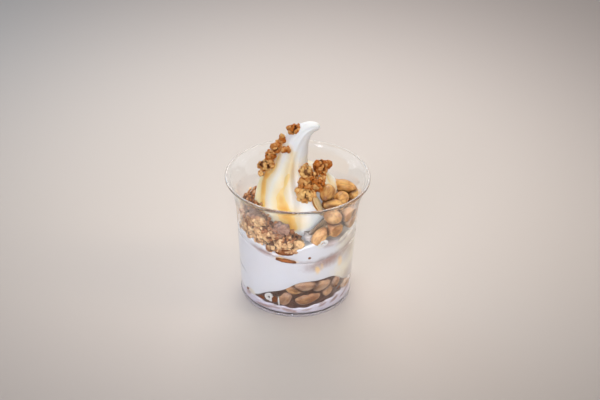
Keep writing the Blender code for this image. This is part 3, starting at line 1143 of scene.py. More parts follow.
    def press(self, shape: Shape) -> None:
        """Dents the band where it leaves the glass, and marks where other things tint it and where shade is painted.

        Args:
            shape: The band, still smooth.
        """
        points = shape.points
        radius = radius_of(points)
        at_wall = smooth_step(radius - self.cup.inner(points[:, 2]), -2.5 * MM, -0.5 * MM)
        lumps = (0.5 * noise(points, 9 * MM, 7) + 0.25 * noise(points, 3.5 * MM, 8)) * MM
        points[:, 2] += lumps * (1 - at_wall)
        drawn = 1 - self.dents(points) * at_wall / np.maximum(radius, MM)
        points[:, :2] *= drawn[:, None]
        shape.marked(
            sauce=self.pool.mask(points),
            caramel=strongest((self.lens, *self.caramels), points),
            veil=strongest(self.veils, points),
            rose=strongest(self.roses, points),
        )


# Smears on the glass


@dataclass(frozen=True)
class WallFilm:
    """Something pressed against the inside of the glass, in millimetres and degrees."""

    azimuth: float
    height: float
    half_width: float
    half_height: float
    tilt: float = 0.0
    thickness: float = 0.8
    hole: float = 0.0  # share of its width that is open in the middle
    tint: float = 0.0  # how much other things colour it

    def shape(self, cup: GlassCup, seed: int) -> Shape:
        """Makes the film.

        Args:
            cup: The cup that it lies in.
            seed: Makes its edge different from the others.

        Returns:
            A thin solid, flat against the glass and domed inwards.
        """
        turns = np.radians(np.linspace(0, 360, 48, endpoint=False))[None, :]
        ring = np.stack([np.cos(turns[0]), np.sin(turns[0]), 0 * turns[0] + seed], -1)
        edge = 1 + 0.18 * noise(ring, 0.5, 17)[None, :] + 0.11 * noise(ring, 0.2, 18)[None, :]
        middle, half = ((1 + self.hole) / 2, (1 - self.hole) / 2) if self.hole else (0.0, 1.0)
        flat = np.linspace(1, max(self.hole, 0.01), 7)[:, None]
        domed = np.linspace(max(self.hole, 0.01), 1, 9)[1:, None]
        shares = np.concatenate([flat, domed])
        depth = self.thickness * np.sqrt(np.clip(1 - ((domed - middle) / half) ** 2, 0, 1))
        depth = np.concatenate([0 * flat, depth]) * MM
        tilt = math.radians(self.tilt)
        u, v = shares * edge * np.cos(turns) * self.half_width, shares * edge * np.sin(turns) * self.half_height
        across, up = u * math.cos(tilt) - v * math.sin(tilt), u * math.sin(tilt) + v * math.cos(tilt)
        z = (self.height + up) * MM
        radius = cup.inner(z) + INTO_GLASS + 0.12 * MM * (1 - shares**4)
        azimuth = self.azimuth + np.degrees(across * MM / radius)
        # a painted glow: tinted films are paler in the middle, read as thin sauce
        glow = self.tint * (1 - smooth_step(shares * np.ones_like(turns), 0.15, 0.95)).ravel()
        return sheet_of(at(radius - depth, azimuth, z)).marked(veil=0.15 + self.tint, rose=0.8 * self.tint, thin=glow)


@dataclass
class Smears:
    """The rings and smears of cream and the pools of sauce at the glass."""

    cup: GlassCup
    cream: tuple[WallFilm, ...] = (
        WallFilm(-28.4, 12.2, 3.1, 2.9, 0, 1.6, 0.3),
        WallFilm(26.0, 54.6, 3.3, 2.3, 25, 1.6, 0.42),
        WallFilm(52.0, 54.2, 5.6, 1.6, 20, 1.0, 0.0, 0.2),
        WallFilm(-52.0, 9.8, 3.6, 1.7, -8, 0.7, 0.0, 0.25),
        WallFilm(-17.4, 11.0, 0.55, 3.4, 4, 0.5),
        WallFilm(118.0, 15.0, 3.0, 2.7, 0, 1.4, 0.3),
        WallFilm(-150.0, 9.0, 3.4, 1.2, 10, 0.7),
        WallFilm(128.0, 52.6, 5.6, 1.5, -12, 0.9),
        WallFilm(-152.0, 53.8, 4.4, 1.5, 10, 0.9),
    )
    sauce: tuple[WallFilm, ...] = (
        WallFilm(-10.4, 49.5, 6.8, 2.2, 5, 1.4, 0.0, 0.3),
        WallFilm(-9.7, 43.4, 6.4, 1.6, -4, 0.7, 0.0, 0.9),
        WallFilm(-60.0, 9.3, 1.7, 1.0, 30, 0.5),
        WallFilm(-37.5, 9.9, 2.5, 1.3, 12, 0.5),
        WallFilm(-22.0, 11.6, 2.7, 2.4, 40, 0.5),
        WallFilm(51.0, 14.8, 1.7, 0.8, 20, 0.5),
        WallFilm(46.0, 17.6, 1.1, 0.7, -30, 0.5),
        WallFilm(13.2, 45.6, 0.95, 0.9, 0, 0.5),
        WallFilm(84.0, 48.4, 5.0, 1.3, -6, 0.9),
        WallFilm(152.0, 50.6, 5.6, 1.6, 5, 1.2),
        WallFilm(-118.0, 52.4, 6.4, 1.7, 4, 1.2),
    )

    def build(self, cream: bpy.types.Material, sauce: bpy.types.Material) -> None:
        """Makes the smears.

        Args:
            cream: The material of the cream.
            sauce: The material of the sauce.
        """
        films = [film.shape(self.cup, number) for number, film in enumerate(self.cream)]
        shape = joined(films).marked(caramel=0.0, sauce=0.0)
        make_piece("cream_smears", shape, cream)
        films = [film.shape(self.cup, 20 + number) for number, film in enumerate(self.sauce)]
        make_piece("sauce_pools", joined(films), sauce)


# Swirl and the caramel on it


@dataclass(frozen=True)
class Stream:
    """A stream of caramel down the swirl.

    Each station is (height in mm, azimuth round the spine, half width in mm, strength).
    """

    stations: tuple[tuple[float, float, float, float], ...]

    def mask(self, azimuth: np.ndarray, z: np.ndarray, radius: np.ndarray) -> np.ndarray:
        """Reads the stream.

        Args:
            azimuth: Azimuths round the swirl's spine.
            z: Heights.
            radius: Distances from the spine.

        Returns:
            Its strength at each point, 0 outside.
        """
        heights, azimuths, widths, strengths = map(np.array, zip(*sorted(self.stations)))
        level = z / MM
        middle = np.interp(level, heights, azimuths)
        wide = np.interp(level, heights, widths)
        strength = np.interp(level, heights, strengths)
        ends = smooth_step(level, heights[0] - 2.5, heights[0] + 1.0) * (
            1 - smooth_step(level, heights[-1] - 0.5, heights[-1] + 1.5)
        )
        away = radius / MM * np.radians(turn_between(azimuth, middle)) / wide
        return strength * ends * bell(away, 0, 1.25)


@dataclass
class Swirl:
    """The piped soft serve: rings round a leaning spine, creased and folded."""

    spine: tuple[tuple[float, float, float], ...] = (
        (-2.0, 52.2, 22.0), (-2.2, 54.6, 23.4), (-2.4, 60.0, 24.2), (-2.6, 66.0, 24.0),
        (-2.8, 72.0, 22.9), (-3.5, 78.0, 20.6), (-4.6, 84.0, 17.2), (-5.0, 90.0, 13.6),
        (-4.4, 96.0, 10.7), (-2.9, 102.0, 8.9), (-0.8, 107.5, 7.5), (2.2, 112.6, 5.9),
        (5.4, 115.7, 4.5), (8.2, 117.0, 3.5), (10.4, 117.3, 2.8), (11.8, 117.1, 2.1), (12.6, 116.9, 1.0),
    )
    steps: int = 11  # rings from one station to the next
    columns: int = 360
    coil_bulge: float = 6.6  # how far the coil stands out from the cone, in millimetres
    tip_length: float = 0.7 * MM  # beyond the last ring
    thickest: float = 0.3  # the sauce's greatest thickness in millimetres
    thinnest: float = -0.2  # how far under the cream the sauce is cut off, in millimetres
    streams: tuple[Stream, ...] = (
        Stream(((101, -86, 1.2, 0.5), (98.7, -83, 1.8, 0.5), (95, -80, 2.2, 0.55), (90.7, -75, 2.8, 0.7),
                (87, -70, 3.2, 0.9), (83.6, -65, 3.4, 1.0), (80.4, -62, 3.6, 1.0), (77, -58, 3.6, 1.0),
                (72.8, -55, 3.9, 0.95), (69, -53, 4.0, 0.9), (60, -52, 3.2, 0.7))),
        Stream(((104, -66, 1.5, 0.4), (100.8, -62, 1.8, 0.55), (97.2, -55, 2.0, 0.6), (93.8, -50, 2.1, 0.66),
                (90.5, -53, 2.4, 0.72), (87.4, -61, 2.8, 0.85), (84, -65, 3.0, 0.9))),
        Stream(((98, 1, 1.7, 0.45), (95.7, 2, 2.1, 0.5), (92.4, 0, 2.5, 0.6), (89.8, -4, 2.8, 0.7),
                (87.2, -9, 2.8, 0.65), (83.8, -14, 3.0, 0.68), (80.4, -18, 3.3, 0.76), (77, -18, 3.8, 0.85),
                (73.5, -15, 4.4, 1.0), (70, -10, 5.4, 1.0), (66, -5, 6.0, 1.0), (62, -2, 5.2, 1.0),
                (58.5, 1, 4.0, 0.9))),
        Stream(((106, -34, 1.4, 0.42), (104.5, -18, 1.3, 0.45), (102, -6, 1.2, 0.45), (98, 0, 1.3, 0.42))),
        Stream(((89.5, 92, 2.2, 0.6), (86, 84, 2.8, 0.7), (82, 76, 3.0, 0.65), (77, 74, 3.0, 0.55),
                (70, 76, 2.6, 0.4))),
        Stream(((97, 150, 1.8, 0.6), (90, 158, 3.2, 0.85), (82, 163, 4.0, 1.0), (74, 160, 4.4, 1.0),
                (66, 157, 4.2, 0.9), (60, 155, 3.2, 0.7))),
        Stream(((102, -128, 1.6, 0.5), (94, -134, 2.8, 0.8), (86, -139, 3.6, 0.95), (78, -137, 4.2, 1.0),
                (70, -134, 4.2, 1.0), (63, -132, 3.4, 0.8))),
    )
    veils: tuple[Stream, ...] = (
        Stream(((92, -82, 4.0, 0.7), (84, -82, 6.0, 0.95), (76, -76, 7.0, 1.0), (68, -70, 7.5, 1.0),
                (58, -66, 7.0, 0.8))),
        Stream(((106, -58, 2.5, 0.4), (96, -56, 3.5, 0.6), (88, -58, 5.0, 0.7), (82, -54, 5.5, 0.6),
                (77, -50, 5.0, 0.4))),
        Stream(((104, -8, 2.5, 0.5), (98, -4, 3.5, 0.6), (92, -6, 4.4, 0.65), (84, -19, 5.0, 0.75), (77, -22, 5.6, 0.8),
                (70, -14, 8.0, 0.8), (60, -4, 9.0, 0.7))),
        Stream(((99, 20, 2.0, 0.2), (95, 24, 3.0, 0.45), (91, 26, 3.5, 0.5), (86, 24, 3.0, 0.3))),
        Stream(((90, 104, 6.0, 0.6), (86, 90, 8.0, 0.7), (82, 78, 8.0, 0.7), (76, 70, 7.0, 0.6), (66, 68, 6.0, 0.4))),
        Stream(((100, 60, 3.0, 0.3), (92, 50, 4.0, 0.35), (84, 30, 4.0, 0.2))),
        Stream(((96, 156, 4.0, 0.5), (80, 160, 8.0, 0.7), (62, 158, 8.0, 0.6))),
        Stream(((98, -132, 3.0, 0.5), (80, -136, 8.0, 0.7), (62, -134, 8.0, 0.6))),
    )

    def rings(self) -> tuple[np.ndarray, np.ndarray]:
        """The rings' middles and how they lean.

        Returns:
            Rows of (x, z, radius) in millimetres along the spine, and each ring's lean in radians.
        """
        points = np.array(self.spine)
        points = np.vstack([2 * points[0] - points[1], points, 2 * points[-1] - points[-2]])
        fine = []
        for a, b, c, d in zip(points, points[1:], points[2:], points[3:]):
            for share in np.arange(self.steps) / self.steps:
                curve = 2 * b + (c - a) * share + (2 * a - 5 * b + 4 * c - d) * share**2
                fine.append(0.5 * (curve + (3 * b - a - 3 * c + d) * share**3))
        fine = np.array(fine + [points[-2]])
        ahead = np.gradient(fine, axis=0)
        lean = np.arctan2(ahead[:, 0], ahead[:, 1]) * smooth_step(fine[:, 1], 96, 110)
        return fine, lean

    def reach(self, azimuth: np.ndarray, z: np.ndarray, radius: np.ndarray) -> np.ndarray:
        """The distance of the surface from the spine, with the coil, the crease and the folds.

        Args:
            azimuth: Azimuths round the spine.
            z: Heights in millimetres.
            radius: The plain radii there, in millimetres.

        Returns:
            The distances in millimetres.
        """
        right = smooth_step(azimuth, 14, 70)
        behind = 1 - smooth_step(azimuth, -175, -125)
        side = np.where(azimuth > 0, right, behind)
        shoulder = z + 5.0 * smooth_step(azimuth, 98, 125)
        coil = self.coil_bulge * side * smooth_step(z, 54, 80) * (1 - smooth_step(shoulder, 84.5, 90))
        shown = np.minimum(1.0, radius / 15)
        crease = -1.5 * bell(turn_between(azimuth, 14 + 0.12 * (z - 80)), 0, 9) * (1 - 0.75 * smooth_step(z, 88, 104))
        valleys = -0.45 * bell(turn_between(azimuth, -60), 0, 11) - 0.5 * bell(turn_between(azimuth, -16), 0, 8)
        ridges = 0.5 * bell(turn_between(azimuth, 1), 0, 7) + 0.45 * bell(turn_between(azimuth, -36), 0, 12)
        back = smooth_step(np.abs(turn_between(azimuth, -10)), 75, 110)
        twist = azimuth + 1.6 * (z - 60)
        folds = -1.1 * back * np.exp(-((np.sin(np.radians(2.5 * twist)) / 0.35) ** 2))
        step = -0.8 * bell(z, 73, 1.6) * side * smooth_step(azimuth * side, 30, 80)
        waist = -2.4 * bell(z, 91.5, 3.2) * smooth_step(azimuth, 55, 95) * (1 - smooth_step(azimuth, 140, 175))
        return radius + coil + waist + (crease + valleys + ridges + folds + step) * shown

    def build(self, cream: bpy.types.Material, caramel: bpy.types.Material) -> None:
        """Makes the swirl and the sauce on it.

        Args:
            cream: The material of the swirl.
            caramel: The material of the sauce.
        """
        rings, lean = self.rings()
        x, z, radius = (rings[:, i : i + 1] for i in range(3))
        azimuths = whole_turn(self.columns)
        reach = self.reach(azimuths, z, radius)
        flat = at(reach * MM, azimuths, 0 * reach)
        turned = np.stack(
            [
                flat[..., 0] * np.cos(lean)[:, None] + x * MM,
                flat[..., 1],
                z * MM - flat[..., 0] * np.sin(lean)[:, None],
            ],
            -1,
        )
        wide = reach * MM
        level = np.broadcast_to(z * MM, reach.shape)
        round_spine = np.broadcast_to(azimuths, reach.shape)
        sauce = np.max([s.mask(round_spine, level, wide) for s in self.streams], axis=0)
        veil = np.max([s.mask(round_spine, level, wide) for s in self.veils], axis=0)
        self.make_cream(turned, sauce, veil, cream)
        self.make_caramel(turned, sauce, caramel)

    def make_cream(self, points: np.ndarray, sauce: np.ndarray, veil: np.ndarray, finish: bpy.types.Material) -> None:
        """Closes the rings at both ends and gives the swirl its stains.

        Args:
            points: The rings' points.
            sauce: How much sauce lies on each.
            veil: How much each is tinted by melted sauce.
            finish: The swirl's material.
        """
        first, last = (
            np.broadcast_to(points[i].mean(0) + (shift, 0, 0), points[i].shape)[None]
            for i, shift in ((0, 0), (-1, self.tip_length))
        )
        shape = sheet_of(np.concatenate([first, points, last]))
        shape.points += 0.18 * MM * noise(shape.points, 6 * MM, 9)[:, None] * np.array((1, 1, 0.3))
        shape.marked(sauce=0.0, rose=0.0, caramel=self.to_the_ends(sauce) ** 0.75 * 0.8, veil=self.to_the_ends(veil))
        make_piece("soft_serve_swirl_piped", shape, finish, ["soft_serve_swirl"])

    @staticmethod
    def to_the_ends(mask: np.ndarray) -> np.ndarray:
        """Repeats a mask's first and last rings for the points that close the ends."""
        return np.vstack([mask[:1], mask, mask[-1:]]).ravel()

    def make_caramel(self, points: np.ndarray, sauce: np.ndarray, finish: bpy.types.Material) -> None:
        """Lays the sauce over the swirl, thickest in the middle of each stream.

        Args:
            points: The rings' points.
            sauce: How much sauce lies on each.
            finish: The sauce's material.
        """
        uneven = 0.12 * noise(points.reshape(-1, 3), 3 * MM, 11).reshape(sauce.shape)
        thick = np.clip((sauce + uneven * (sauce > 0.2) - 0.66) * 0.9, -0.25, self.thickest) * MM
        normals = np.cross(np.roll(points, -1, 1) - np.roll(points, 1, 1), np.gradient(points, axis=0))
        normals /= np.linalg.norm(normals, axis=-1, keepdims=True) + 1e-12
        shape = sheet_of(points + normals * thick[..., None])
        flat = thick.ravel()
        shape.faces = shape.faces[(flat[shape.faces] > self.thinnest * MM).all(1)]
        used, shape.faces = np.unique(shape.faces, return_inverse=True)
        shape.faces = shape.faces.reshape(-1, 3)
        shape.points = shape.points[used]
        shape.marked(thin=1 - flat[used] / (self.thickest * MM))
        make_piece("caramel_streams", shape, finish)


# Peanuts


@dataclass(frozen=True)
class Kernel:
    """A skinless roasted peanut, or half of one, in millimetres and degrees."""

    place: tuple[float, float, float]
    size: tuple[float, float, float] = (13.2, 7.8, 7.4)
    turn: float = 0.0
    tilt: float = 0.0
    roll: float = 0.0
    half: bool = False
    roast: float = 0.4
    milk: float = 0.0

    def shape(self, seed: int, rings: int = 24, columns: int = 28) -> Shape:
        """Makes the kernel in its place.

        Args:
            seed: Makes it a little different from the others.
            rings: How many rings it has along its length.
            columns: How many points each ring has.

        Returns:
            The kernel.
        """
        length, width, thickness = (part / 2 for part in self.size)
        u = np.linspace(0.001, math.pi - 0.001, rings)[:, None]
        v = np.radians(np.linspace(0, 360, columns, endpoint=False))[None, :]
        x = -np.cos(u)
        round_off = np.sin(u) ** 0.84
        blunt = 1 - 0.13 * x - 0.05 * x**2
        groove = 1 - 0.055 * (bell(np.sin(v), 0, 0.2) * np.sin(u))
        nub = 0.07 * smooth_step(x, 0.86, 1.0)
        points = np.stack(
            np.broadcast_arrays(
                (x + nub + 0.02 * np.cos(v)) * length,
                round_off * blunt * groove * np.cos(v) * width,
                round_off * blunt * groove * np.sin(v) * thickness,
            ),
            -1,
        )
        shape = sheet_of(points)
        flesh = np.zeros(len(shape.points))
        if self.half:
            flesh = self.halve(shape, thickness)
        ball = shape.points / (length, width, thickness)
        dents = 1 + 0.05 * noise(ball + seed * 5.1, 0.9, 12) + 0.018 * noise(ball + seed * 3.3, 0.3, 13)
        shape.points = shape.points * dents[:, None] * MM
        ends = smooth_step(ball[:, 0], 0.72, 1.0) + 0.55 * smooth_step(-ball[:, 0], 0.86, 1.0)
        seam = 0.5 * bell(ball[:, 2], 0, 0.1) * smooth_step(np.abs(ball[:, 1]), 0.6, 0.95)
        veins = noise(ball * (0.45, 1.5, 1.5) + seed * 2.7, 0.4, 18) + noise(ball + seed * 1.9, 0.7, 19)
        lines = smooth_step(noise(ball * (0.3, 2.2, 2.2) + seed * 1.3, 0.32, 22), 0.2, 0.5)
        shape.points *= 1 + 0.014 * veins[:, None] - 0.012 * lines[:, None]
        tip = (ends + seam + 0.6 * lines) * (1 - flesh)
        shape.marked(roast=self.roast + 0.5 * veins, tip=tip, flesh=flesh * 0.9, milk=self.milk, nook=0.0)
        return shape.moved(self.move())

    def move(self) -> Matrix:
        """The move from the origin to the kernel's place."""
        return spot(np.array(self.place) * MM, self.turn, self.tilt, self.roll)

    def shade_on(self, points: np.ndarray) -> np.ndarray:
        """How closely points lie against the kernel.

        Args:
            points: Points of its neighbours.

        Returns:
            For each point, 1 where it touches the kernel and 0 well away.
        """
        back = np.array(self.move().inverted())
        own = points @ back[:3, :3].T + back[:3, 3]
        away = np.linalg.norm(own / (np.array(self.size) / 2 * MM), axis=1)
        return 1 - smooth_step(away, 0.98, 1.5)

    @staticmethod
    def halve(shape: Shape, thickness: float) -> np.ndarray:
        """Flattens the lower side to a split face with its groove.

        Args:
            shape: The kernel, still round.
            thickness: Half its thickness.

        Returns:
            For each point, 1 on the split face and 0 elsewhere.
        """
        points = shape.points
        under = points[:, 2] < 0
        hollow = bell(points[:, 1], 0, 1.2) * bell(points[:, 0], 0, 4.5)
        points[:, 2] = np.where(under, 0.25 * thickness * hollow - 0.02 * points[:, 2], points[:, 2])
        return under.astype(float)


def shaded(shapes: Sequence[Shape], kernels: Sequence[Kernel], others: Sequence[Kernel] = ()) -> None:
    """Marks kernels where their neighbours lie against them.

    Args:
        shapes: The kernels' shapes.
        kernels: The same kernels, in the same order.
        others: More kernels that may lie near them.
    """
    for i, shape in enumerate(shapes):
        near = [k for j, k in enumerate((*kernels, *others)) if j != i and math.dist(k.place, kernels[i].place) < 16]
        if near:
            # painted contact shade, from how closely each neighbour lies against these points
            nook = np.max([kernel.shade_on(shape.points) for kernel in near], axis=0)
            shape.marked(nook=nook * (1 - 0.75 * shape.marks["flesh"]))


def pressed(shape: Shape, cup: GlassCup, reach: float = INTO_GLASS) -> Shape:
    """Flattens a shape where it meets the glass.

    Args:
        shape: The shape.
        cup: The cup that it lies in.
        reach: How far into the wall it goes.

    Returns:
        The same shape.
    """
    radius = radius_of(shape.points)
    free = cup.inner(np.minimum(shape.points[:, 2], cup.height)) + reach
    below_rim = shape.points[:, 2] < cup.height
    shape.points[:, :2] *= np.where(below_rim & (radius > free), free / np.maximum(radius, MM), 1)[:, None]
    return shape


@dataclass
class Peanuts:
    """All the peanuts: the lower layer, the heap on the right and the single ones on top."""

    cup: GlassCup
    band: LowerSoftServe
    spacing: float = 7.2 * MM  # least distance between the heap's scattered kernels
    clearance: float = 6.6 * MM  # least distance from them to the named kernels, middle to middle
    core_depth: float = 4.6 * MM  # how far the heap's core is drawn in
    singles: tuple[Kernel, ...] = (
        Kernel((18.0, -17.4, 81.0), (12.0, 9.4, 9.0), -106, 16, 0, False, 0.5),
        Kernel((29.4, 0.6, 75.4), (14.0, 8.6, 8.2), -12, 4, 20, False, 0.5),
        Kernel((27.2, -9.8, 73.2), (12.6, 8.6, 8.2), 62, 12, 40, False, 0.6),
        Kernel((34.6, 1.2, 70.8), (12.0, 7.2, 6.8), 84, 6, 0, False, 0.05),
        Kernel((21.4, -21.8, 75.8), (13.2, 7.6, 7.2), 12, 8, -20, False, 0.05),
        Kernel((12.8, -23.2, 76.6), (11.4, 6.8, 5.6), -38, 54, 170, True, 0.5),
        Kernel((24.6, 14.0, 68.4), (13.4, 7.8, 7.4), 130, 6, 0, False, 0.35),
        Kernel((13.6, 27.2, 64.8), (13.0, 7.6, 7.2), 20, -8, 0, False, 0.45),
    )
    heap: tuple[Kernel, ...] = (
        Kernel((21.4, -25.3, 70.4), (13.4, 11.0, 9.6), 60, 50, 0, False, 0.5),
        Kernel((30.4, -19.6, 68.6), (10.0, 9.2, 8.4), 35, -20, 0, False, 0.3),
        Kernel((22.6, -25.8, 61.6), (12.0, 10.6, 9.4), -60, 20, 0, False, 0.35),
        Kernel((13.6, -30.2, 58.4), (12.8, 8.6, 8.2), 20, -56, 0, False, 0.1),
        Kernel((33.0, -14.0, 60.4), (11.6, 7.6, 7.2), 65, -10, 0, False, 0.5, 0.5),
        Kernel((35.4, -5.0, 64.6), (12.6, 7.8, 7.4), 80, 30, 0, False, 0.35),
    )
    layer: tuple[tuple[float, ...], ...] = (
        # azimuth, height, length, width, lean, roast, milk, whether it is half a peanut
        (-11.0, 12.9, 12.4, 8.6, 62, 1.0, 0.6, False),
        (-1.5, 20.2, 10.2, 7.2, -12, 0.3, 0.0, False),
        (14.5, 12.8, 16.4, 9.4, 11, 0.85, 0.2, False),
        (11.5, 22.9, 15.6, 8.8, 2, 1.0, 0.8, False),
        (29.5, 21.4, 13.6, 9.4, 8, 0.5, 0.8, False),
        (37.5, 16.6, 10.0, 7.4, 52, 0.5, 0.6, False),
        (47.0, 20.4, 9.6, 7.0, 40, 0.8, 0.8, False),
        (69.0, 12.6, 11.6, 6.4, 8, 0.6, 0.6, False),
        (87.0, 11.4, 12.0, 6.6, -8, 0.6, 0.3, False),
        (105.0, 10.0, 11.6, 6.0, 10, 0.5, 0.3, False),
        (126.0, 9.4, 11.0, 6.0, -8, 0.6, 0.4, True),
        (148.0, 8.4, 8.6, 4.6, 20, 0.8, 0.3, True),
        (-96.0, 7.6, 7.2, 4.0, 10, 0.8, 0.3, True),
        (-140.0, 7.7, 8.6, 4.2, -20, 0.8, 0.3, True),
        (178.0, 7.5, 8.0, 4.0, 14, 0.7, 0.3, True),
    )

    def build(self, cream: bpy.types.Material, sauce: bpy.types.Material) -> None:
        """Makes the peanuts and what fills the gaps between them.

        Args:
            cream: The material between the heap's kernels.
            sauce: The material between the lower layer's kernels.
        """
        peanut = PeanutFinish().made()
        packed = PeanutFinish("roasted_peanut_behind_glass", (0.77, 0.45, 0.20), (0.42, 0.175, 0.065)).made()
        soaked = PeanutFinish(
            "roasted_peanut_in_sauce", (0.64, 0.35, 0.155), (0.25, 0.085, 0.022), (0.12, 0.04, 0.012)
        ).made()
        shapes = [pressed(kernel.shape(i, 36, 44), self.cup) for i, kernel in enumerate(self.singles, start=1)]
        shaded(shapes, self.singles, self.heap)
        for number, shape in enumerate(shapes, start=1):
            node = f"peanut_{number:02d}"
            make_piece(node + "_roasted", shape, peanut, [node])
        make_piece("upper_peanut_heap_kernels", joined(self.heap_kernels()), packed, ["upper_peanut_heap"])
        make_piece("upper_peanut_heap_core", self.heap_core(), cream)
        make_piece("lower_peanut_kernels", joined(self.layer_kernels()), soaked, ["lower_peanut_layer"])
        # the sauce between the lower kernels is painted near black, as the shade in those gaps
        make_piece("lower_peanut_core", self.layer_core(), sauce)

    @staticmethod
    def shows(points: np.ndarray, normals: np.ndarray) -> np.ndarray:
        """Says where the heap's scattered kernels may lie: at the glass or on top, behind the named ones.

        Args:
            points: Points of the heap's surface.
            normals: The outward normals there.

        Returns:
            Whether each point may hold one.
        """
        radius = radius_of(points)
        outside = (normals[:, 2] > 0.3) | (radius > 32 * MM)
        return outside & (azimuth_of(points) > np.where(radius > 34 * MM, 66, 40)) & (normals[:, 2] > -0.5)

    def heap_kernels(self) -> list[Shape]:
        """Makes the heap's kernels: the named ones and, behind them, scattered ones.

        Returns:
            Their shapes.
        """
        kernels = list(self.heap)
        taken = np.array([kernel.place for kernel in (*self.heap, *self.singles)]) * MM
        points, normals = scattered("upper_peanut_heap", self.spacing, 5, self.shows)
        random = np.random.default_rng(6)
        for point, normal in zip(points, normals):
            place = point - normal * 3.3 * MM
            if np.linalg.norm(taken - place, axis=1).min() < self.clearance:
                continue
            turn = float(azimuth_of(point)) + random.normal(0, 35)
            size = random.normal((12.8, 7.6, 7.2), (0.7, 0.35, 0.35))
            lean, roll, roast = random.normal(0, 20), random.uniform(0, 360), random.uniform(0.1, 0.7)
            kernels.append(Kernel(tuple(place / MM), tuple(size), turn, lean, roll, False, roast))
        placed = [pressed(kernel.shape(50 + i), self.cup) for i, kernel in enumerate(kernels)]
        shaded(placed, kernels, self.singles)
        return placed

    def layer_kernels(self) -> list[Shape]:
        """Makes the kernels that the lower layer shows at the glass.

        Returns:
            Their shapes.
        """
        kernels = []
        for azimuth, z, length, width, lean, roast, milk, half in self.layer:
            depth = width * (0.5 if half else 0.95)
            inner = float(self.cup.inner(z * MM)) / MM
            place = at(inner - (0.6 if half else depth / 2 - 0.6), azimuth, z)
            roll = -90 if half else 0
            kernels.append(Kernel(tuple(place), (length, width, depth), azimuth, -lean, roll, half, roast, milk))
        placed = [pressed(kernel.shape(20 + i, 30, 36), self.cup) for i, kernel in enumerate(kernels)]
        shaded(placed, kernels)
        return placed

    def heap_core(self) -> Shape:
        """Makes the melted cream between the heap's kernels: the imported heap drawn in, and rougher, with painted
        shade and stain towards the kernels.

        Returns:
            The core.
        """
        shape = drawn_in("upper_peanut_heap", self.core_depth)
        azimuth = azimuth_of(shape.points)
        nutty = smooth_step(azimuth, 8, 24)
        # painted shade with caramel stain, growing towards the kernels
        stain = (0.7 + 0.5 * noise(shape.points, 4 * MM, 16)) * nutty
        return shape.marked(veil=1 - nutty, rose=stain, caramel=0.0, sauce=0.0)

    def layer_core(self) -> Shape:
        """Makes the sauce between the layer's kernels, which stops short of the glass.

        Returns:
            The core.
        """
        azimuths = whole_turn(240)
        top = round_the_cup(azimuths, self.band.foot) * MM + 0.6 * MM
        bottom = self.band.base.surface(azimuths, np.ones_like(azimuths)) - 0.6 * MM
        rows = [at(1e-6, azimuths, bottom)]
        for share in np.linspace(0, 1, 20):
            z = bottom + (top - bottom) * share
            rows.append(at(self.cup.inner(z) - 1.3 * MM, azimuths, z))
        rows.append(at(1e-6, azimuths, top))
        shape = sheet_of(np.concatenate(rows))
        shape.points[:, :2] *= 1 + 0.02 * noise(shape.points, 2.5 * MM, 15)[:, None]
        return shape.marked(thin=0.0)


# Granola


@dataclass(frozen=True)
class OatCluster:
    """A baked cluster: puffed grains, oat flakes and crumbs stuck on an uneven lump."""

    grains: int = 16
    crumbs: int = 14
    grain: float = 1.3 * MM
    core_level: int = 3

    def shape(self, half_sizes: np.ndarray, seed: int, bake: float = 0.5) -> Shape:
        """Makes the cluster round the origin.

        Args:
            half_sizes: Half its length, width and height.
            seed: Makes it different from the others.
            bake: How brown it is on the whole.

        Returns:
            The cluster.
        """
        random = np.random.default_rng(1000 + seed)
        core = lump(half_sizes * 0.8, self.core_level, seed, 0.3, 0.9)
        parts = [core.marked(bake=bake + 0.15, crevice=0.6)]
        ways = random.normal(size=(self.grains + self.crumbs, 3))
        ways /= np.linalg.norm(ways, axis=1, keepdims=True)
        ways[: self.grains] = self.spread(self.grains, random)
        reaches = 0.8 * (1 + 0.3 * noise(ways + seed * 7.3, 0.9, seed % 5))
        for i, (way, reach) in enumerate(zip(ways, reaches)):
            big = i < self.grains
            flake = big and i % 4 == 0
            size = self.grain * random.uniform(0.75, 1.4) * (1 if big else 0.5)
            form = (1.45, 1.1, 0.4) if flake else random.uniform(0.75, 1.15, 3)
            grain = lump(size * np.array(form), 2, seed * 31 + i, 0.34, 0.75)
            facing = pointing(way / half_sizes)
            spin = Matrix.Rotation(random.uniform(0, math.tau), 4, "Z")
            spin = spin @ Matrix.Rotation(random.normal(0, 0.35), 4, "X")
            out = reach * half_sizes * way * random.uniform(0.92, 1.12)
            grain = grain.moved(Matrix.Translation(Vector(out)) @ facing @ spin)
            parts.append(grain.marked(bake=bake + random.normal(-0.05, 0.34), crevice=0.0))
        shape = joined(parts)
        # points sunk below the cluster's outline get painted crevice shade
        sunk = 1 - np.linalg.norm(shape.points / half_sizes, axis=1)
        shape.marked(crevice=smooth_step(sunk, -0.06, 0.26), haze=0.0)
        return shape

    @staticmethod
    def spread(count: int, random: np.random.Generator) -> np.ndarray:
        """Spreads directions evenly, a little out of order.

        Args:
            count: How many there are.
            random: Where the disorder comes from.

        Returns:
            A unit vector in each row.
        """
        up = 1 - 2 * (np.arange(count) + 0.5) / count
        turn = math.pi * (3 - math.sqrt(5)) * np.arange(count) + random.normal(0, 0.3, count)
        flat = np.sqrt(1 - up * up)
        return np.stack([flat * np.cos(turn), flat * np.sin(turn), up], -1)


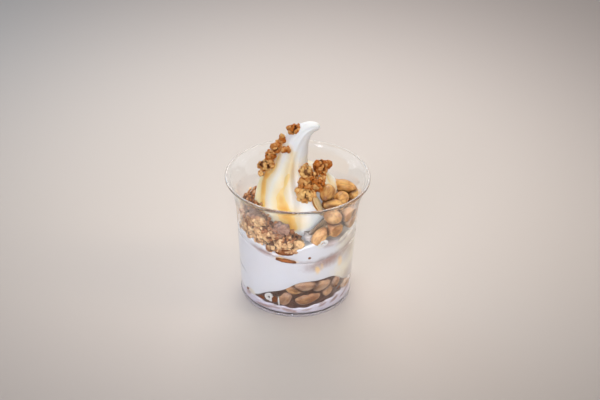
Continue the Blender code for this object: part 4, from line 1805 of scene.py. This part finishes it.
@dataclass
class Granola:
    """The granola: the heap on the left of the swirl and the single clusters on the swirl."""

    cup: GlassCup
    singles: tuple[tuple[float, ...], ...] = (
        # x, y, z, length, width, height, turn, bake
        (-2.9, -1.2, 115.9, 8.2, 6.6, 6.0, 20, 0.85),
        (-9.8, -2.0, 110.0, 3.2, 3.0, 6.6, 10, 0.8),
        (-13.4, -3.2, 104.0, 5.6, 5.0, 6.6, 40, 0.7),
        (-16.6, -3.6, 98.8, 6.0, 5.6, 6.4, 75, 0.8),
        (-19.0, -5.2, 93.6, 11.6, 7.4, 6.6, 15, 0.45),
        (-7.4, -8.4, 105.6, 5.0, 2.8, 2.2, 30, 0.85),
        (4.9, -12.6, 93.4, 7.4, 7.4, 9.6, 0, 0.35),
        (13.4, -2.6, 91.2, 8.8, 8.6, 9.6, 25, 1.0),
        (17.6, 2.2, 90.0, 6.0, 5.2, 4.2, 60, 1.1),
        (3.6, -16.0, 86.8, 7.0, 6.6, 6.8, 70, 0.5),
        (4.8, -20.8, 81.2, 9.2, 7.8, 9.0, 5, -0.1),
        (11.6, -15.8, 85.2, 9.0, 8.0, 8.2, 50, 0.95),
    )
    spacing: float = 5.6 * MM  # least distance between the heap's clusters
    crumb_spacing: float = 3.4 * MM  # and between its crumbs
    core_depth: float = 2.8 * MM  # how far the heap's core is drawn in
    spilt: int = 16  # crumbs along the foot of the heap, over the sauce
    strays: tuple[tuple[float, ...], ...] = (
        # x, y, z, size, bake
        (7.6, -13.4, 89.0, 4.6, 0.8), (9.4, -17.4, 84.6, 4.4, 0.6), (6.0, -17.6, 85.4, 4.0, 0.5),
        (10.4, -9.8, 89.4, 4.4, 0.7), (0.4, -19.4, 84.0, 3.4, 0.2), (14.6, -11.2, 87.2, 3.6, 0.6),
        (9.2, -19.6, 81.2, 3.8, 0.4), (17.6, 5.6, 87.6, 3.2, 0.8), (15.2, -6.2, 88.2, 3.4, 0.7),
        (-12.4, -1.4, 107.0, 3.0, 0.4), (-14.4, -0.8, 101.6, 3.4, 0.5), (-17.0, -5.4, 95.2, 3.6, 0.5),
        (-20.8, -1.6, 88.0, 3.4, 0.3), (-15.6, -6.6, 93.2, 2.6, 0.6), (-22.6, -5.0, 86.8, 3.0, 0.5),
        (-8.6, 15.6, 88.4, 4.0, 0.5), (3.4, 19.6, 84.6, 3.6, 0.4), (-2.4, 22.4, 78.0, 3.4, 0.6),
    )
    lumps: tuple[tuple[float, float, float, float, float], ...] = (
        # azimuth, height, length, height of the lump, bake
        (-35.0, 56.0, 9.6, 10.0, 0.12),
        (-55.0, 58.6, 8.0, 9.0, 0.25),
        (-22.0, 61.6, 9.0, 7.6, 0.75),
        (-8.5, 54.8, 7.6, 6.4, 0.25),
        (-14.0, 66.4, 8.0, 6.6, 0.9),
        (3.4, 55.4, 4.8, 4.2, 0.15),
        (-46.0, 67.0, 9.0, 8.0, 0.55),
    )

    def build(self) -> None:
        """Makes the granola."""
        finish = GranolaFinish().made()
        packed = GranolaFinish(
            "granola_behind_glass", (0.95, 0.65, 0.35), (0.34, 0.125, 0.045), (0.06, 0.018, 0.008)
        ).made()
        for number, (x, y, z, *sizes, turn, bake) in enumerate(self.singles, start=1):
            node = f"granola_cluster_{number:02d}"
            area = float(np.prod(sizes)) ** (2 / 3)
            cluster = OatCluster(round(10 + area * 0.32), round(8 + area * 0.3), 1.3 * MM)
            shape = cluster.shape(np.array(sizes) / 2 * MM, number, bake)
            make_piece(node + "_oats", shape.moved(spot((x * MM, y * MM, z * MM), turn)), finish, [node])
        make_piece("granola_strays", joined(self.stray_shapes()), finish)
        heap = self.heap()
        front = [shape for shape in heap if shape.points[:, 1].mean() < 0]
        behind = [shape for shape in heap if shape.points[:, 1].mean() >= 0]
        make_piece("upper_granola_heap_front", joined(front), packed, ["upper_granola_heap"])
        make_piece("upper_granola_heap_behind", joined(behind), packed)
        # the drawn-in core is painted dark brown, as the shade seen in the gaps between the clusters
        core = drawn_in("upper_granola_heap", self.core_depth).marked(bake=1.0, crevice=0.8, haze=0.0)
        make_piece("upper_granola_heap_core", core, packed)
        make_piece("upper_granola_heap_crumbs", joined(self.crumbs()), packed)

    def stray_shapes(self) -> list[Shape]:
        """Makes the small pieces between the single clusters.

        Returns:
            Their shapes.
        """
        placed = []
        for number, (x, y, z, size, bake) in enumerate(self.strays):
            cluster = OatCluster(8, 8, 1.0 * MM, 2)
            half_sizes = np.array((0.55, 0.5, 0.42)) * size * MM
            move = spot((x * MM, y * MM, z * MM), 47 * number, 20)
            placed.append(cluster.shape(half_sizes, 70 + number, bake).moved(move))
        return placed

    @staticmethod
    def shows(points: np.ndarray, normals: np.ndarray) -> np.ndarray:
        """Whether a point of the heap's surface lies at the glass or on top."""
        at_glass = radius_of(points) > 33 * MM
        return ((normals[:, 2] > 0.25) | at_glass) & (normals[:, 2] > -0.5)

    def heap(self) -> list[Shape]:
        """Makes the heap's clusters: scattered ones, and the named lumps at the glass.

        Returns:
            Their shapes.
        """
        random = np.random.default_rng(21)
        sizes = random.uniform((3.3, 2.8, 2.6), (5.0, 4.2, 3.8), (9, 3)) * MM
        kinds = [OatCluster(20, 16, 1.35 * MM, 3).shape(size, 40 + i, 0.5) for i, size in enumerate(sizes)]
        points, normals = scattered("upper_granola_heap", self.spacing, 22, self.shows)
        placed = []
        for point, normal in zip(points, normals):
            turned = Matrix.Rotation(random.uniform(0, math.tau), 4, Vector(random.normal(size=3)).normalized())
            size = random.uniform(0.75, 1.15)
            low = np.array((0, 0, 1.8 + 2.6 * float(bell(azimuth_of(point), -50, 15)))) * MM
            low *= (normal[2] > 0.25) * (azimuth_of(point) < -28)
            move = Matrix.Translation(Vector(point - normal * 2.5 * size * MM - low)) @ turned @ Matrix.Scale(size, 4)
            shape = kinds[random.integers(len(kinds))].moved(move)
            shape.marked(bake=shape.marks["bake"] + random.normal(0, 0.34))
            placed.append(self.sunk(pressed(shape, self.cup, 0.1 * MM), normal))
        for number, (azimuth, z, length, height, bake) in enumerate(self.lumps):
            half_sizes = np.array((length, 5.4, height)) / 2 * MM
            place = at(self.cup.inner(z * MM) - 2.3 * MM, azimuth, z * MM)
            shape = OatCluster(22, 16, 1.35 * MM, 3).shape(half_sizes, 60 + number, bake)
            placed.append(self.sunk(pressed(shape.moved(spot(place, azimuth)), self.cup, 0.15 * MM), place * (1, 1, 0)))
        return placed

    def sunk(self, shape: Shape, normal: np.ndarray) -> Shape:
        """Paints shade on what lies back from the glass, where the heap is seen through it.

        Args:
            shape: A cluster of the heap.
            normal: The heap's outward direction there.

        Returns:
            The same shape.
        """
        if normal[2] > 0.5:
            return shape.marked(bake=shape.marks["bake"] + 0.6)
        back = self.cup.inner(np.minimum(shape.points[:, 2], self.cup.height)) - radius_of(shape.points)
        stain = self.clouded(shape.points)
        # painted shade, darker the further back from the glass a point lies
        depth = smooth_step(back, 0.5 * MM, (3.0 - 1.2 * stain) * MM) * 0.85
        bake = shape.marks["bake"] + 0.7 * stain
        return shape.marked(crevice=np.maximum(shape.marks["crevice"], depth), bake=bake, haze=0.55 * stain)

    @staticmethod
    def clouded(points: np.ndarray) -> np.ndarray:
        """How much melted cream clouds the glass in front of the heap.

        Args:
            points: Points of the heap.

        Returns:
            A number from 0 to 1 for each point.
        """
        z, azimuth = points[:, 2], azimuth_of(points)
        right = bell(azimuth, -13, 9) * smooth_step(z, 57 * MM, 63 * MM)
        left = 0.6 * bell(azimuth, -50, 12) * smooth_step(z, 66 * MM, 74 * MM)
        cloud = np.maximum(right, left) * (1 + 0.8 * noise(points, 3 * MM, 20) + 0.8 * noise(points, 1.2 * MM, 21))
        return np.clip(cloud, 0, 1)

    def crumbs(self) -> list[Shape]:
        """Makes the loose crumbs and flakes on the heap, and those spilt over the sauce.

        Returns:
            Their shapes.
        """
        random = np.random.default_rng(23)
        points, normals = scattered("upper_granola_heap", self.crumb_spacing, 24, self.shows)
        placed = []
        for number, (point, normal) in enumerate(zip(points, normals)):
            sizes = random.uniform(0.45, 0.95, 3) * MM * random.choice((1.0, 1.4))
            if random.random() < 0.25:
                sizes = np.array((1.9, 1.4, 0.45)) * MM * random.uniform(0.8, 1.2)
            facing = pointing(normal + random.normal(0, 0.3, 3))
            facing = facing @ Matrix.Rotation(random.uniform(0, math.tau), 4, "Z")
            move = Matrix.Translation(Vector(point - normal * random.uniform(-0.2, 0.9) * MM)) @ facing
            shape = lump(sizes, 2, number, 0.3, 0.8).moved(move)
            bake = random.uniform(0, 0.8) + 0.6 * (normal[2] > 0.5)
            shape.marked(bake=bake, crevice=0.0, haze=0.6 * self.clouded(shape.points))
            placed.append(pressed(shape, self.cup, 0.1 * MM))
        for number in range(self.spilt):
            z = random.uniform(49.4, 52.4) * MM
            place = at(self.cup.inner(z) - 0.1 * MM, random.uniform(-20, 1), z)
            shape = lump(random.uniform(0.7, 1.4, 3) * MM, 2, 900 + number, 0.35, 0.8)
            shape = shape.moved(spot(place, 40 * number, 20))
            shape.marked(bake=random.uniform(0.2, 1.2), crevice=0.0, haze=0.0)
            placed.append(pressed(shape, self.cup, INTO_GLASS + 0.3 * MM))
        return placed


# Table, lamps and camera


@dataclass
class Studio:
    """A plain pale table, soft lamps and the camera."""

    sky: Colour = (0.95, 0.97, 1.0)
    sky_light: float = 0.30  # how much of it reaches plain surfaces
    sky_gleam: float = 1.3  # how bright it looks in and through the glass
    table_half: float = 0.8  # half the table's side
    eye: tuple[float, float, float] = (0.0017, -0.6369, 0.4606)
    look_down: float = 31.84  # degrees below level
    eye_roll: float = 1.15  # degrees that the camera is turned about its own line of sight

    def build(self) -> None:
        """Sets up the table, the lamps and the camera."""
        self.make_table()
        self.add_panel("back_panel", (0, 0.6, 0.7), 0.5, 3.0, (1.0, 0.91, 0.87))
        self.add_panel("low_panel", (-0.5, 0.5, 0.35), 0.3, 0.6, (0.2, 0.62, 1.0))
        self.add_spot("front_spot", (0, -0.9, 0.6), (0, 0.08, 0.04), 28, 20.0, (0.86, 0.92, 1.0))
        self.add_spot("left_spot", (-0.5, -0.8, 0.6), (0, 0.08, 0.04), 28, 10.0, (0.95, 0.88, 1.0))
        self.add_spot("right_spot", (0.8, -0.1, 0.6), (0, 0.06, 0.05), 36, 7.0, (1.0, 0.84, 0.66))
        self.add_spot("top_spot", (0, 0.12, 1.0), (0, 0.12, 0), 36, 9.4, (0.96, 1.0, 0.91))
        self.light_sky()
        self.add_camera()

    def make_table(self) -> None:
        """Makes the table, which runs past the edges of the view."""
        mesh = bpy.data.meshes.new("table")
        half = self.table_half
        mesh.from_pydata([(-half, -half, 0), (half, -half, 0), (half, half, 0), (-half, half, 0)], [], [(0, 1, 2, 3)])
        mesh.materials.append(FloorFinish().made())
        table = put_in_scene("table", mesh)

    @staticmethod
    def hang(lamp: bpy.types.Light, place: Sequence[float], aim: Sequence[float]) -> None:
        """Hangs a lamp.

        Args:
            lamp: The lamp.
            place: Where it hangs.
            aim: What it points at.
        """
        made = put_in_scene(lamp.name, lamp)
        made.location = place
        made.rotation_mode = "QUATERNION"
        made.rotation_quaternion = (Vector(aim) - Vector(place)).to_track_quat("-Z", "Y")

    def add_panel(self, name: str, place: Sequence[float], size: float, power: float, colour: Colour) -> None:
        """Hangs a square soft panel that points at the sundae.

        Args:
            name: The lamp's name.
            place: Where it hangs.
            size: Its side.
            power: Its power in watts.
            colour: Its colour.
        """
        lamp = bpy.data.lights.new(name, "AREA")
        lamp.size, lamp.energy, lamp.color = size, power, colour
        self.hang(lamp, place, (0, 0, 0.05))

    def add_spot(
        self, name: str, place: Sequence[float], aim: Sequence[float], width: float, power: float, colour: Colour
    ) -> None:
        """Hangs a lamp that throws a soft-edged pool of light.

        Args:
            name: The lamp's name.
            place: Where it hangs.
            aim: The middle of its pool.
            width: The angle of its cone in degrees.
            power: Its power in watts.
            colour: Its colour.
        """
        lamp = bpy.data.lights.new(name, "SPOT")
        lamp.spot_size, lamp.spot_blend, lamp.shadow_soft_size = math.radians(width), 1.0, 0.18
        lamp.energy, lamp.color = power, colour
        self.hang(lamp, place, aim)

    def light_sky(self) -> None:
        """Lights the surroundings, which look brighter in the glass than on plain surfaces."""
        world = bpy.data.worlds.new("studio")
        bpy.context.scene.world = world
        world.use_nodes = True
        tree = Tree(world.node_tree)
        back = world.node_tree.nodes["Background"]
        set_values(back, Color=(*self.sky, 1), Strength=self.sky_gleam)
        plain = tree.add("Background", {"Color": self.sky, "Strength": self.sky_light})
        path = tree.add("LightPath")
        mixed = tree.add("MixShader", {0: path.outputs["Is Diffuse Ray"], 1: back.outputs[0], 2: plain.outputs[0]})
        tree.feed(world.node_tree.nodes["World Output"].inputs["Surface"], mixed.outputs[0])

    def add_camera(self) -> None:
        """Puts the camera in front of the sundae, looking down at it."""
        data = bpy.data.cameras.new("camera")
        data.lens, data.sensor_width = 72, 36
        data.clip_start = 0.01
        camera = put_in_scene("camera", data)
        camera.matrix_world = (
            Matrix.Translation(self.eye)
            @ Matrix.Rotation(math.radians(90 - self.look_down), 4, "X")
            @ Matrix.Rotation(math.radians(self.eye_roll), 4, "Z")
        )
        bpy.context.scene.camera = camera
        bpy.context.scene.view_settings.view_transform = "Standard"


def main() -> None:
    """Builds the sundae, from the cup inwards and upwards."""
    logging.basicConfig(level=logging.INFO, format="%(name)s: %(message)s")
    Studio().build()
    cream = CreamFinish().made()
    # a darker, cooler copy of the cream: painted shade on the band and the films seen through the glass
    shaded_pressed_cream = CreamFinish("soft_serve_behind_glass_shaded", (0.69, 0.675, 0.695), roughness=0.6, gloss=0.15).made()
    # darker, lavender cream for the bed on the floor: melted cream with painted shade at the bottom of the cup
    melted_shaded_cream = CreamFinish("soft_serve_melted_shaded", (0.62, 0.57, 0.64), roughness=0.5, gloss=0.2).made()
    # a dark copy of the cream: painted shade, with caramel stain, for the core between the upper kernels
    stained_shaded_cream = CreamFinish(
        "soft_serve_between_nuts", (0.36, 0.25, 0.15), (0.70, 0.65, 0.66), rose=(0.08, 0.032, 0.012), gloss=0.2
    ).made()
    caramel = CaramelFinish().made()
    # caramel darkened to near black: sauce with painted shade in the gaps between the lower kernels
    sauce = CaramelFinish("caramel_and_shade_between_nuts", (0.055, 0.016, 0.007), (0.14, 0.05, 0.022), 0.4).made()
    pool = CaramelFinish("caramel_pools", (0.15, 0.038, 0.007), (0.50, 0.155, 0.035), 0.25).made()
    cup = GlassCup()
    cup.build()
    base = BaseCream(cup)
    base.build(melted_shaded_cream)
    band = LowerSoftServe(cup, base)
    band.build(shaded_pressed_cream)
    Swirl().build(cream, caramel)
    Smears(cup).build(shaded_pressed_cream, pool)
    Peanuts(cup, band).build(stained_shaded_cream, sauce)
    Granola(cup).build()


if __name__ == "__main__":
    main()
